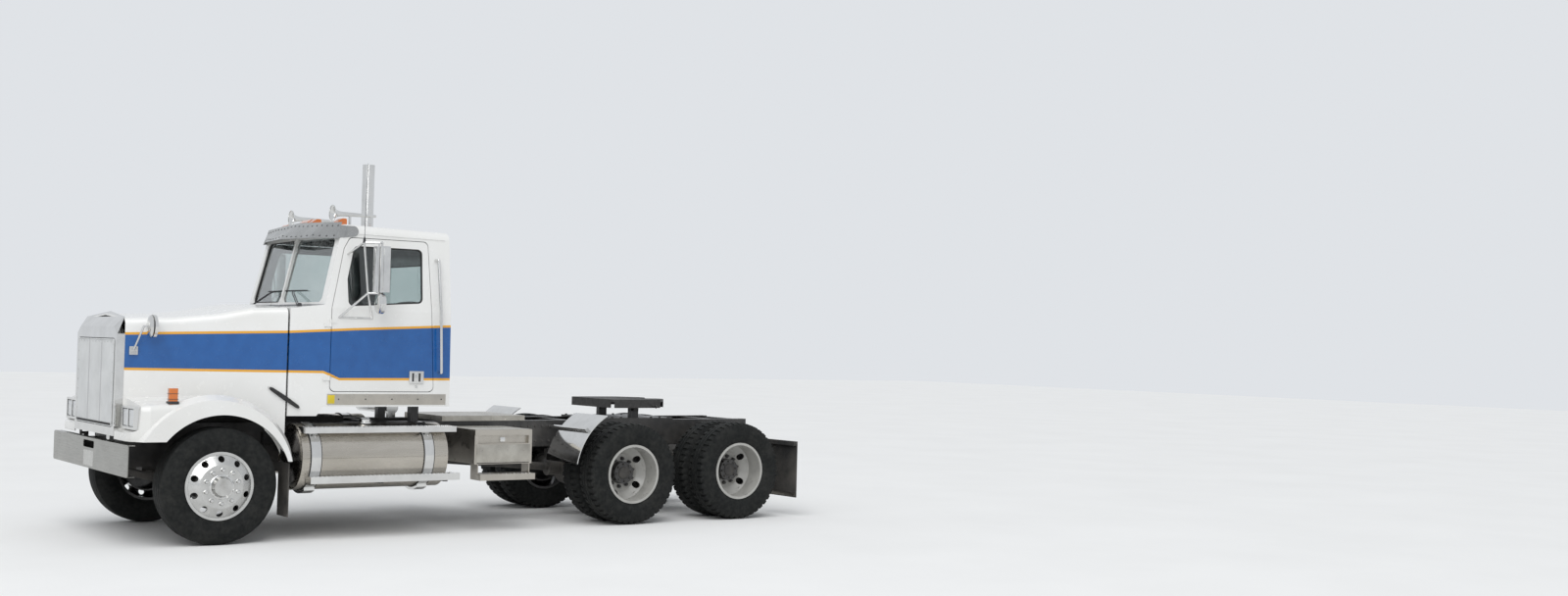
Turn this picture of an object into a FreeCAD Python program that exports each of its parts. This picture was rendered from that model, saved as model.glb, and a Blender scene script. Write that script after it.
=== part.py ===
import FreeCAD, Part
import math
import os

import Sketcher
from FreeCAD import Placement, Rotation, Vector

doc = FreeCAD.newDocument("TractorUnit")
sheet = doc.addObject("Spreadsheet::Sheet", "Sizes")

# Driving sizes in millimetres. Lengths along the truck run from the front axle's line to the rear,
# heights run up from the ground, and names ending in share are plain ratios.
SIZES = {
    "Overall": {
        "front_overhang": 804,
        "wheelbase": 4843,
        "tandem_spacing": 1321,
        "rear_overhang": 1417,
        "overrun": 60,
        "running_gap": 0.3,
        "panel_gap": 6,
    },
    "Tyres and wheels": {
        "tyre_radius": 512,
        "tyre_width": 280,
        "tread_width": 226,
        "shoulder_radius": 496,
        "bulge_radius": 400,
        "rim_seat_radius": 286,
        "rim_flange_radius": 298.5,
        "rim_width": 235,
        "rim_thickness": 12,
        "flange_thickness": 12,
        "disc_thickness": 20,
        "front_track_half": 1021,
        "front_disc_out": 168,
        "front_cap_radius": 96,
        "front_cap_length": 52,
        "hand_hole_radius": 28,
        "hand_hole_ring": 237,
        "hand_hole_count": 10,
        "dual_centre": 919.5,
        "dual_spacing": 343,
        "rear_plate_radius": 190,
        "rear_hole_radius": 36,
        "rear_hole_ring": 222,
        "rear_hole_count": 5,
        "rear_hub_radius": 112,
        "rear_hub_out": 96,
        "drum_radius": 214,
        "drum_wall": 14,
        "drum_width": 190,
        "drum_inset": 30,
    },
    "Front axle and steering": {
        "kingpin_out": 850,
        "kingpin_radius": 42,
        "eye_low": 466,
        "eye_high": 558,
        "lug_height": 40,
        "web_out": 56,
        "web_thickness": 26,
        "web_half_width": 62,
        "spindle_radius": 34,
        "spindle_length": 250,
        "arm_length": 190,
        "arm_thickness": 28,
        "arm_width": 46,
        "tie_rod_radius": 17,
        "tie_rod_drop": 34,
        "beam_low": 392,
        "beam_high": 470,
        "beam_width": 92,
        "beam_rise_start": 620,
        "beam_flat": 104,
        "spring_out": 388,
        "spring_width": 76,
        "spring_thickness": 52,
        "spring_half_length": 680,
        "spring_rise": 150,
        "spring_hanger_width": 60,
        "spring_hanger_length": 90,
    },
    "Frame": {
        "rail_out": 432,
        "rail_height": 267,
        "rail_flange": 89,
        "rail_wall": 9,
        "rail_top": 1025,
        "rail_front": -640,
        "rail_rear_inset": 130,
        "cross_height": 190,
        "cross_width": 70,
        "horn_plate_low": 640,
        "horn_plate_high": 868,
        "cab_pad_width": 80,
        "cab_pad_front": 720,
        "cab_pad_rear_inset": 126,
    },
    "Rear axles and suspension": {
        "axle_tube_radius": 64,
        "banjo_radius": 205,
        "banjo_width": 230,
        "nose_radius": 92,
        "nose_length": 340,
        "shaft_radius": 50,
        "beam_out": 395,
        "equaliser_width": 84,
        "equaliser_height": 92,
        "equaliser_overhang": 130,
        "saddle_length": 260,
    },
    "Engine and gearbox": {
        "engine_front": -430,
        "engine_rear": 590,
        "engine_width": 680,
        "engine_low": 600,
        "engine_high": 1660,
        "gearbox_rear": 1480,
        "gearbox_width": 430,
        "gearbox_low": 640,
        "gearbox_high": 1070,
        "output_height": 705,
        "radiator_front": -660,
        "radiator_depth": 130,
        "radiator_width": 960,
        "radiator_drop": 212,
    },
    "Hood and fenders": {
        "hood_gap": 18,
        "hood_wall": 12,
        "hood_front": -700,
        "hood_front_half": 640,
        "hood_rear_half": 953,
        "hood_corner": 70,
        "ridge_front_drop": 132,
        "ridge_quarter_drop": 116,
        "ridge_half_drop": 72,
        "ridge_late_drop": 12,
        "ridge_rise": 14,
        "shoulder_drop": 34,
        "fender_half": 1190,
        "fender_front": -766,
        "fender_front_low": 905,
        "fender_corner_out": 1000,
        "fender_tip_low": 716,
        "fender_base": 600,
        "fender_corner": 60,
        "fender_crown": 120,
        "fender_inset": 34,
        "fender_nose_top": 1206,
        "fender_quarter_y": -450,
        "fender_quarter_top": 1230,
        "fender_crest_y": 40,
        "fender_crest_top": 1262,
        "fender_back_y": 300,
        "fender_back_half": 1140,
        "fender_back_top": 1150,
        "fender_tail_y": 480,
        "fender_tail_half": 1085,
        "fender_tail_top": 960,
        "fender_rear_half": 1010,
        "fender_rear_top": 800,
        "fender_ledge_low": 975,
        "fender_ledge_high": 1005,
        "fender_ledge_depth": 72,
        "fender_ledge_lean": 26,
        "arch_radius": 620,
        "flare_radius": 700,
        "flare_y": -60,
        "flare_z": 560,
        "flare_slope": 90,
    },
    "Grille": {
        "grille_front": -769,
        "grille_half": 642,
        "grille_low": 928,
        "grille_side_high": 1816,
        "grille_top_half": 543,
        "grille_high": 1878,
        "crown_rear_half": 595,
        "crown_rear_y": -702,
        "crown_rear_high": 1967,
        "crown_apex_y": -658,
        "crown_apex_high": 2017,
        "grille_wall": 6,
        "opening_half": 560,
        "opening_low_inset": 73,
        "opening_drop": 39,
        "cover_half": 575,
        "cover_thickness": 4,
        "cover_low_inset": 11,
        "cover_drop": 11,
    },
    "Lamps and hood mirrors": {
        "headlamp_in": 737,
        "headlamp_width": 362,
        "headlamp_low": 1004,
        "headlamp_height": 198,
        "headlamp_y": -730,
        "headlamp_depth": 90,
        "headlamp_rim": 20,
        "headlamp_recess": 12,
        "signal_out": 1100,
        "signal_y": -415,
        "signal_width": 60,
        "signal_length": 76,
        "signal_low": 1220,
        "signal_high": 1360,
        "signal_corner": 14,
        "mirror_base_y": -635,
        "mirror_base_z": 1672,
        "mirror_base_size": 72,
        "mirror_base_depth": 14,
        "hood_disc_out": 826,
        "hood_disc_y": -530,
        "hood_disc_z": 1885,
        "hood_disc_radius": 102,
        "hood_disc_depth": 26,
        "stalk_radius": 9,
    },
    "Bumper": {
        "bumper_half": 1220,
        "bumper_low": 611,
        "bumper_high": 882,
        "bumper_depth": 62,
        "bumper_wall": 7,
        "bumper_corner": 26,
        "bumper_slot_half": 174,
        "bumper_slot_low": 792,
        "bumper_slot_high": 857,
        "bumper_slot_corner": 20,
        "hood_pivot_y": -760,
        "hood_pivot_rise": 17,
        "hood_ear_radius": 13,
        "hood_ear_foot": 40,
        "hood_lug_radius": 12,
        "hood_pin_radius": 7,
    },
    "Cab": {
        "cab_wall": 45,
        "cab_front": 646,
        "cab_length": 1560,
        "cab_rear_lean": 20,
        "cab_front_half": 955,
        "cab_half": 1015,
        "cab_widest_y": 1000,
        "cab_roof_half": 950,
        "belt_rise": 915,
        "roof_rise": 123,
        "roof_fall": 34,
        "roof_drop": 26,
        "roof_corner": 95,
        "roof_rear_corner": 62,
        "cowl_low": 1110,
        "cowl_drop": 26,
        "sill_low": 1195,
        "sill_start": 960,
        "cowl_low_end": 900,
        "glass_foot_y": 893,
        "glass_foot_rise": 23,
        "glass_lean": 153,
        "glass_rise": 662,
        "brow_reach": 104,
        "brow_drop": 6,
        "glass_sweep": 58,
        "glass_thickness": 6,
        "screen_half": 905,
        "screen_top_half": 862,
        "screen_low_inset": 17,
        "screen_high_inset": 43,
        "screen_corner": 110,
        "post_half": 18,
        "rear_window_half": 620,
        "rear_window_drop": 30,
        "rear_window_inset": 235,
        "rear_window_corner": 70,
    },
    "Doors": {
        "door_low_rise": 141,
        "door_front": 1014,
        "door_front_drop": 10,
        "door_head_lean": 118,
        "door_head_drop": 145,
        "door_top_lean": 176,
        "door_top_drop": 43,
        "door_top_rear_inset": 74,
        "door_rear_inset": 172,
        "door_corner": 50,
        "window_low_front_rise": 8,
        "window_front_inset": 156,
        "window_mid_inset": 146,
        "window_mid_rise": 261,
        "window_top_inset": 214,
        "window_top_drop": 72,
        "window_rear_inset": 129,
        "window_low_rear_rise": 58,
        "window_corner": 48,
        "hinge_line_out": 1024,
        "hinge_line_forward": 12,
        "hinge_radius": 8,
        "hinge_pin_radius": 4,
        "hinge_height": 34,
        "hinge_leaf": 58,
        "hinge_leaf_thickness": 5,
        "hinge_leaf_gap": 1.5,
        "hinge_low_rise": 134,
        "hinge_high_drop": 140,
    },
    "Door mirrors": {
        "arm_radius": 10,
        "arm_top_out": 1180,
        "arm_top_y": 1232,
        "arm_top_drop": 48,
        "arm_low_y": 1282,
        "arm_low_rise": 131,
        "strut_foot_y": 1165,
        "strut_foot_drop": 154,
        "bar_front_y": 1080,
        "bar_rear_y": 1400,
        "bar_drop": 98,
        "head_out": 1262,
        "head_y": 1372,
        "head_low_rise": 9,
        "head_high_drop": 32,
        "head_width": 170,
        "head_depth": 62,
        "convex_radius": 98,
        "convex_drop": 100,
        "convex_depth": 30,
    },
    "Roof": {
        "visor_half": 950,
        "visor_front_y": 868,
        "visor_front_drop": 43,
        "visor_side_y": 1062,
        "visor_side_drop": 53,
        "visor_back_y": 1062,
        "visor_back_side_y": 1106,
        "visor_back_rise": 8,
        "visor_thickness": 7,
        "visor_wing_rear": 1265,
        "visor_wing_drop": 25,
        "visor_wing_rise": 67,
        "lamp_y": 1168,
        "lamp_side_y": 1190,
        "lamp_height": 58,
        "lamp_length": 88,
        "lamp_width": 102,
        "lamp_out": 700,
        "lamp_inner_out": 125,
        "trumpet_out": 532,
        "bell_y": 1176,
        "bell_radius": 82,
        "bell_length": 130,
        "bell_lip": 5,
        "trumpet_radius": 17,
        "trumpet_rear": 1610,
        "trumpet_rise": 81,
        "trumpet_foot_radius": 13,
    },
    "Interior": {
        "seat_out": 480,
        "seat_front": 1420,
        "seat_length": 520,
        "seat_width": 520,
        "seat_base_low": 1240,
        "seat_low": 1560,
        "cushion_thickness": 150,
        "back_thickness": 140,
        "back_height": 640,
        "dash_rear": 1210,
        "dash_drop": 410,
        "dash_half": 900,
        "wheel_ring_radius": 228,
        "wheel_tube_radius": 15,
        "wheel_centre_y": 1330,
        "wheel_centre_drop": 100,
        "column_radius": 26,
    },
    "Exhaust": {
        "stack_out": 1150,
        "stack_to_cab": 30,
        "stack_radius": 63.5,
        "stack_low": 1125,
        "stack_high": 3670,
        "shield_radius": 92,
        "shield_low": 1220,
        "shield_high": 2150,
        "elbow_end": 352,
    },
    "Fuel tanks": {
        "tank_out": 900,
        "tank_z": 740,
        "tank_radius": 300,
        "tank_front": 709,
        "tank_to_box": 278,
        "dome_depth": 32,
        "tank_rim": 14,
        "strap_width": 100,
        "strap_thickness": 8,
        "strap_front_inset": 128,
        "strap_rear_inset": 191,
        "cradle_in_gap": 60,
        "cradle_thickness": 34,
        "cradle_reach": 150,
        "step_out": 1226,
        "step_in": 1040,
        "upper_step_low": 966,
        "upper_step_height": 53,
        "upper_step_inset": 10,
        "upper_step_reach": 66,
        "lower_step_low": 513,
        "lower_step_height": 64,
        "lower_step_inset": 72,
        "lower_step_reach": 116,
    },
    "Side boxes": {
        "box_in": 560,
        "box_out": 1190,
        "box_length": 614,
        "box_to_axle": 1169.5,
        "box_height": 281,
        "box_drop": 95,
        "recess_height": 83,
        "recess_depth": 36,
        "tread_rise": 50,
        "tread_out": 1222,
        "tread_front_reach": 12,
        "tread_rear_inset": 18,
        "box_step_height": 60,
        "box_step_drop": 94,
        "box_step_front_inset": 53,
        "box_step_rear_reach": 27,
        "box_step_in": 1010,
        "hanger_thickness": 10,
    },
    "Deck": {
        "deck_front": 2411,
        "deck_length": 919,
        "deck_half": 440,
        "deck_height": 52,
        "deck_wall": 6,
    },
    "Rear fenders and flaps": {
        "quarter_radius": 686,
        "quarter_wall": 5,
        "quarter_in": 600,
        "quarter_out": 1230,
        "quarter_start_deg": 120,
        "quarter_end_deg": 170,
        "quarter_arm_radius": 20,
        "quarter_arm_deg": 140,
        "flap_thickness": 12,
        "flap_in": 620,
        "flap_out": 1230,
        "flap_low": 205,
        "flap_drop": 210,
        "flap_bar_height": 46,
        "flap_bar_depth": 40,
        "front_flap_y": 601,
        "front_flap_in": 900,
        "front_flap_out": 1150,
        "front_flap_low": 220,
        "front_flap_high": 700,
    },
    "Fifth wheel": {
        "coupling_forward": 143,
        "stand_height": 107,
        "plate_rise": 90,
        "plate_thickness": 28,
        "plate_half_width": 457,
        "plate_front_reach": 345,
        "plate_rear_reach": 440,
        "plate_skirt": 62,
        "throat_radius": 25.4,
        "throat_mouth_half": 150,
        "throat_length": 44,
        "pivot_radius": 24,
        "stand_eye_radius": 48,
        "stand_out": 300,
        "stand_width": 60,
        "base_height": 18,
        "base_length": 900,
    },
    "Handles and tail lamps": {
        "grab_radius": 14,
        "grab_low_inset": 123,
        "grab_high_inset": 163,
        "grab_low": 1519,
        "grab_high_drop": 211,
        "grab_stand": 65,
        "tail_lamp_radius": 51,
        "tail_lamp_depth": 34,
        "tail_lamp_out": 330,
        "tail_lamp_z": 900,
    },
}


class Size(float):
    """A number of the sheet, or one worked out from such numbers, with its expression."""

    def __new__(cls, number, text):
        size = super().__new__(cls, number)
        size.text = text
        return size

    def __add__(self, other):
        return joined(self, "+", other, float(self) + float(other))

    def __radd__(self, other):
        return joined(other, "+", self, float(other) + float(self))

    def __sub__(self, other):
        return joined(self, "-", other, float(self) - float(other))

    def __rsub__(self, other):
        return joined(other, "-", self, float(other) - float(self))

    def __mul__(self, other):
        return joined(self, "*", other, float(self) * float(other))

    def __rmul__(self, other):
        return joined(other, "*", self, float(other) * float(self))

    def __truediv__(self, other):
        return joined(self, "/", other, float(self) / float(other))

    def __neg__(self):
        return joined(0, "-", self, -float(self))


def expression(value):
    """The expression that gives a value."""
    return value.text if isinstance(value, Size) else repr(value)


def joined(left, sign, right, number):
    """The sum, difference, product or ratio of two values."""
    return Size(number, "(" + expression(left) + " " + sign + " " + expression(right) + ")")


class Sizes:
    """Each size of the sheet by its name, and the places that follow from them."""


s = Sizes()
row = 1
for group, entries in SIZES.items():
    sheet.set("A%d" % row, "'" + group)
    row += 1
    for alias, number in entries.items():
        sheet.set("A%d" % row, "'" + alias)
        sheet.set("B%d" % row, str(number))
        sheet.setAlias("B%d" % row, alias)
        row += 1
doc.recompute()
for entries in SIZES.values():
    for alias in entries:
        setattr(s, alias, Size(sheet.get(alias), "Sizes." + alias))

# The front axle stands this far from the middle of the truck's length.
overall_length = s.front_overhang + s.wheelbase + s.rear_overhang
datum_y = s.front_overhang - overall_length / 2
axle_y = {"drive1": s.wheelbase - s.tandem_spacing / 2, "drive2": s.wheelbase + s.tandem_spacing / 2}
tail_y = s.wheelbase + s.rear_overhang

# Places that follow other sizes, each by its own named distance.
s.rail_rear = tail_y - s.rail_rear_inset
s.coupling_y = s.wheelbase - s.coupling_forward
s.box_rear = axle_y["drive1"] - s.box_to_axle
s.box_front = s.box_rear - s.box_length
s.tread_front = s.box_front - s.tread_front_reach
s.tread_rear = s.box_rear - s.tread_rear_inset
s.box_step_front = s.box_front + s.box_step_front_inset
s.box_step_rear = s.box_rear + s.box_step_rear_reach
s.tank_rear = s.box_front - s.tank_to_box
s.strap_front_y = s.tank_front + s.strap_front_inset
s.strap_rear_y = s.tank_rear - s.strap_rear_inset
s.upper_step_front = s.tank_front + s.upper_step_inset
s.upper_step_rear = s.tank_rear + s.upper_step_reach
s.lower_step_front = s.tank_front + s.lower_step_inset
s.lower_step_rear = s.tank_rear + s.lower_step_reach
s.hood_rear = s.cab_front - s.hood_gap
s.cab_rear = s.cab_front + s.cab_length
s.cab_rear_top = s.cab_rear - s.cab_rear_lean
s.cab_pad_rear = s.cab_rear - s.cab_pad_rear_inset
s.cab_belt = s.sill_low + s.belt_rise
s.cowl_top = s.cab_belt - s.cowl_drop
s.glass_foot = s.cab_belt + s.glass_foot_rise
s.glass_head = s.glass_foot + s.glass_rise
s.glass_head_y = s.glass_foot_y + s.glass_lean
s.brow_y = s.glass_head_y + s.brow_reach
s.screen_low = s.glass_foot + s.screen_low_inset
s.screen_high = s.glass_head - s.screen_high_inset
s.cab_roof = s.glass_head + s.roof_rise
s.rear_window_low = s.cab_belt - s.rear_window_drop
s.rear_window_high = s.glass_head - s.rear_window_inset
s.door_low = s.sill_low + s.door_low_rise
s.door_front_high = s.cab_belt - s.door_front_drop
s.door_head_y = s.door_front + s.door_head_lean
s.door_head_front = s.glass_head - s.door_head_drop
s.door_top_front_y = s.door_front + s.door_top_lean
s.door_top = s.glass_head - s.door_top_drop
s.door_rear_y = s.cab_rear - s.door_rear_inset
s.door_top_rear_y = s.door_rear_y - s.door_top_rear_inset
s.window_low_front = s.cab_belt + s.window_low_front_rise
s.window_front_y = s.door_front + s.window_front_inset
s.window_mid_y = s.door_front + s.window_mid_inset
s.window_mid = s.cab_belt + s.window_mid_rise
s.window_top_front_y = s.door_front + s.window_top_inset
s.window_top = s.door_top - s.window_top_drop
s.window_rear_y = s.door_rear_y - s.window_rear_inset
s.window_low_rear = s.cab_belt + s.window_low_rear_rise
s.hinge_line_y = s.door_front - s.hinge_line_forward
s.hinge_low_z = s.door_low + s.hinge_low_rise
s.hinge_high_z = s.door_front_high - s.hinge_high_drop
s.arm_top_z = s.door_top - s.arm_top_drop
s.arm_low_z = s.cab_belt + s.arm_low_rise
s.strut_foot_z = s.door_top - s.strut_foot_drop
s.bar_z = s.cab_belt - s.bar_drop
s.head_low = s.arm_low_z + s.head_low_rise
s.head_high = s.arm_top_z - s.head_high_drop
s.convex_z = s.head_low - s.convex_drop
s.visor_front_z = s.glass_head - s.visor_front_drop
s.visor_side_z = s.glass_head - s.visor_side_drop
s.visor_wing_low = s.glass_head - s.visor_wing_drop
s.visor_wing_high = s.glass_head + s.visor_wing_rise
s.trumpet_z = s.cab_roof + s.trumpet_rise
s.wheel_centre_z = s.cab_belt - s.wheel_centre_drop
s.dash_low = s.cab_belt - s.dash_drop
s.stack_y = s.cab_rear + s.stack_to_cab
s.grab_low_y = s.cab_rear - s.grab_low_inset
s.grab_high_y = s.cab_rear - s.grab_high_inset
s.grab_high = s.glass_head - s.grab_high_drop
s.ridge_rear = s.cab_belt + s.ridge_rise
s.ridge_late = s.ridge_rear - s.ridge_late_drop
s.ridge_half = s.ridge_rear - s.ridge_half_drop
s.ridge_quarter = s.ridge_rear - s.ridge_quarter_drop
s.ridge_front = s.ridge_rear - s.ridge_front_drop
s.deck_rear = s.deck_front + s.deck_length
s.pivot_z = s.rail_top + s.base_height + s.stand_height
s.plate_top = s.pivot_z + s.plate_rise
s.hood_pivot_z = s.bumper_high + s.hood_pivot_rise
s.radiator_high = s.ridge_front - s.radiator_drop
s.opening_high = s.grille_side_high - s.opening_drop
s.cover_high = s.opening_high - s.cover_drop
s.opening_low = s.grille_low + s.opening_low_inset
s.cover_low = s.opening_low + s.cover_low_inset
s.flap_high = s.rail_top - s.flap_drop
s.box_high = s.rail_top - s.box_drop
s.recess_low = s.box_high - s.recess_height
s.tread_high = s.box_high + s.tread_rise
s.box_low = s.box_high - s.box_height
s.box_step_high = s.box_low - s.box_step_drop
s.box_step_low = s.box_step_high - s.box_step_height
s.upper_step_high = s.upper_step_low + s.upper_step_height
s.lower_step_high = s.lower_step_low + s.lower_step_height

SIDES = {"left": 1, "right": -1}

parts = []


def bind(thing, prop, value):
    """Set a property, and tie it to the sheet where its value comes from there."""
    if isinstance(value, Size):
        thing.setExpression(prop, value.text)
    else:
        setattr(thing, prop, value)


def place(thing, x=0, y=0, z=0, turn=None):
    """Put an object at named distances."""
    thing.Placement = Placement(Vector(x, y, z), turn or Rotation())
    for axis, value in zip("xyz", (x, y, z)):
        if isinstance(value, Size):
            thing.setExpression("Placement.Base." + axis, value.text)
    return thing


def node(label, thing, x=0, y=datum_y, z=0, turn=None):
    """Name a finished sub-part and put it in the truck's frame."""
    thing.Label = label
    place(thing, x, y, z, turn)
    parts.append(thing)
    return thing


def box(name, low, high):
    """A block between two corners."""
    block = doc.addObject("Part::Box", name)
    for prop, start, end in zip(("Length", "Width", "Height"), low, high):
        bind(block, prop, end - start)
    return place(block, *low)


ALONG = {"x": Rotation(Vector(0, 1, 0), 90), "y": Rotation(Vector(1, 0, 0), -90), "z": Rotation()}


def rod(name, axis, radius, start, length):
    """A round bar from a start point along an axis."""
    bar = doc.addObject("Part::Cylinder", name)
    bind(bar, "Radius", radius)
    bind(bar, "Height", length)
    return place(bar, *start, turn=ALONG[axis])


def fuse(name, things):
    """Join solids that touch."""
    union = doc.addObject("Part::MultiFuse", name)
    union.Shapes = things
    return union


def cut(name, base, tool):
    """One solid less another."""
    rest = doc.addObject("Part::Cut", name)
    rest.Base = base
    rest.Tool = tool
    return rest


def compound(name, things):
    """Solids that share a sub-part and don't touch."""
    group = doc.addObject("Part::Compound", name)
    group.Links = things
    return group


def mirrored(name, thing):
    """The same piece on the truck's other side."""
    image = doc.addObject("Part::Mirroring", name)
    image.Source = thing
    image.Normal = Vector(1, 0, 0)
    return image


def pair(name, thing):
    """A piece on the left and its mirror image on the right, as two solids of one sub-part."""
    return compound(name, [thing, mirrored(name + "_right", thing)])


def shaped(name, shape):
    """A sub-part whose form is made by operations on shapes."""
    feature = doc.addObject("Part::Feature", name)
    feature.Shape = shape
    return feature


def origin_plane(body, role):
    """One of a body's own origin planes."""
    return next(plane for plane in body.Origin.OriginFeatures if plane.Role == role)


def outline_sketch(body, name, role, points):
    """A closed outline of straight lines, each corner held by its distances from the origin."""
    sketch = body.newObject("Sketcher::SketchObject", name)
    sketch.AttachmentSupport = [(origin_plane(body, role), "")]
    sketch.MapMode = "FlatFace"
    count = len(points)
    for index, (u, v) in enumerate(points):
        next_u, next_v = points[(index + 1) % count]
        sketch.addGeometry(Part.LineSegment(Vector(u, v, 0), Vector(next_u, next_v, 0)), False)
    for index in range(count):
        sketch.addConstraint(Sketcher.Constraint("Coincident", index, 2, (index + 1) % count, 1))
    for index, point in enumerate(points):
        for kind, value in zip(("DistanceX", "DistanceY"), point):
            if float(value) < 0:
                number = sketch.addConstraint(Sketcher.Constraint(kind, index, 1, -1, 1, -float(value)))
                text = expression(-value)
            else:
                number = sketch.addConstraint(Sketcher.Constraint(kind, -1, 1, index, 1, float(value)))
                text = expression(value)
            if isinstance(value, Size):
                sketch.setExpression("Constraints[%d]" % number, text)
    return sketch


def circle_sketch(body, name, role, u, v, radius):
    """A circle held by its centre and its radius."""
    sketch = body.newObject("Sketcher::SketchObject", name)
    sketch.AttachmentSupport = [(origin_plane(body, role), "")]
    sketch.MapMode = "FlatFace"
    sketch.addGeometry(Part.Circle(Vector(u, v, 0), Vector(0, 0, 1), radius), False)
    for kind, value in (("DistanceX", u), ("DistanceY", v)):
        number = sketch.addConstraint(Sketcher.Constraint(kind, -1, 1, 0, 3, float(value)))
        if isinstance(value, Size):
            sketch.setExpression("Constraints[%d]" % number, value.text)
    number = sketch.addConstraint(Sketcher.Constraint("Radius", 0, float(radius)))
    sketch.setExpression("Constraints[%d]" % number, radius.text)
    return sketch


def revolution(body, name, sketch, axis_role):
    """Turn an outline once about one of the body's axes."""
    turned = body.newObject("PartDesign::Revolution", name)
    turned.Profile = sketch
    turned.ReferenceAxis = (origin_plane(body, axis_role), [""])
    turned.Angle = 360
    return turned


def face(points):
    """A flat face through points, each corner straight."""
    return Part.Face(Part.makePolygon(list(points) + [points[0]]))


def rounded_face(points, radius):
    """A flat face through points, its corners rounded by as much as their sides allow."""
    count = len(points)
    edges = []
    ends = []
    for index, corner in enumerate(points):
        before = points[index - 1] - corner
        after = points[(index + 1) % count] - corner
        half_angle = before.getAngle(after) / 2
        reach = min(radius / math.tan(half_angle), before.Length / 2, after.Length / 2)
        start = corner + before.normalize() * reach
        end = corner + after.normalize() * reach
        inner = reach * math.tan(half_angle)
        toward = (start + end) * 0.5 - corner
        centre_reach = reach / math.cos(half_angle)
        middle = corner + toward.normalize() * (centre_reach - inner)
        ends.append((start, middle, end))
    for index, (start, middle, end) in enumerate(ends):
        edges.append(Part.Arc(start, middle, end).toShape())
        following = ends[(index + 1) % count][0]
        if (following - end).Length > 0:
            edges.append(Part.makeLine(end, following))
    return Part.Face(Part.Wire(edges))


def side_points(pairs, x=0):
    """Points of an outline seen from the side."""
    return [Vector(x, y, z) for y, z in pairs]


def front_points(pairs, y=0):
    """Points of an outline seen from the front."""
    return [Vector(x, y, z) for x, z in pairs]


def plan_points(pairs, z=0):
    """Points of an outline seen from above."""
    return [Vector(x, y, z) for x, y in pairs]


def both_sides(pairs):
    """Half an outline from the middle outward, and its mirror image back."""
    return list(pairs) + [(-x, other) for x, other in reversed(pairs) if float(x) != 0]


def flip(shape):
    """A shape's mirror image across the truck's middle."""
    return shape.mirror(Vector(0, 0, 0), Vector(1, 0, 0))


def bar_between(start, end, radius):
    """A round bar between two points."""
    return Part.makeCylinder(radius, (end - start).Length, start, end - start)


# Tyres and wheels: each is turned about its own axle line, and its placement puts it on the hub.
def tyre_outline(centre):
    half_bead = s.rim_width / 2 - s.flange_thickness
    bead_edge = s.rim_flange_radius + s.running_gap
    half_profile = [
        (half_bead, s.rim_seat_radius),
        (half_bead, bead_edge),
        (s.tyre_width / 2, s.bulge_radius),
        (s.tread_width / 2, s.shoulder_radius),
        (s.tread_width / 2 - (s.tyre_radius - s.shoulder_radius), s.tyre_radius),
    ]
    left = [(centre + across, radius) for across, radius in half_profile]
    right = [(centre - across, radius) for across, radius in reversed(half_profile)]
    return left + right


def tyre(name, centre):
    body = doc.addObject("PartDesign::Body", name)
    sketch = outline_sketch(body, name + "_outline", "XZ_Plane", tyre_outline(centre))
    revolution(body, name + "_ring", sketch, "X_Axis")
    return body


def rim_outline(centre, toward, disc_face):
    """The rim's trough and its disc, which lies on the side given by toward."""
    half = s.rim_width / 2
    inner = s.rim_seat_radius - s.rim_thickness
    disc_root = centre + toward * (half - s.flange_thickness * 2)
    return [
        (centre - toward * half, inner),
        (centre - toward * half, s.rim_flange_radius),
        (centre - toward * (half - s.flange_thickness), s.rim_flange_radius),
        (centre - toward * (half - s.flange_thickness), s.rim_seat_radius),
        (centre + toward * (half - s.flange_thickness), s.rim_seat_radius),
        (centre + toward * (half - s.flange_thickness), s.rim_flange_radius),
        (centre + toward * half, s.rim_flange_radius),
        (centre + toward * half, inner),
        (disc_root + toward * s.disc_thickness, inner),
        (disc_face, s.rear_plate_radius),
        (disc_face, s.rear_hub_radius),
        (disc_face - toward * s.disc_thickness, s.rear_hub_radius),
        (disc_face - toward * s.disc_thickness, s.rear_plate_radius),
        (disc_root, inner),
    ]


def ring_of_holes(body, name, radius, ring, count, start, length):
    """Round holes through a wheel's disc, spaced evenly about the axle line."""
    sketch = circle_sketch(body, name + "_circle", "YZ_Plane", 0, ring, radius)
    sketch.setExpression("AttachmentOffset.Base.z", expression(start))
    pocket = body.newObject("PartDesign::Pocket", name)
    pocket.Profile = sketch
    pocket.Length = float(length)
    pocket.setExpression("Length", expression(length))
    pocket.Reversed = True
    pattern = body.newObject("PartDesign::PolarPattern", name + "_pattern")
    pattern.Originals = [pocket]
    pattern.Axis = (origin_plane(body, "X_Axis"), [""])
    pattern.Angle = 360
    pattern.setExpression("Occurrences", expression(count))
    body.Tip = pattern
    return pattern


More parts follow.
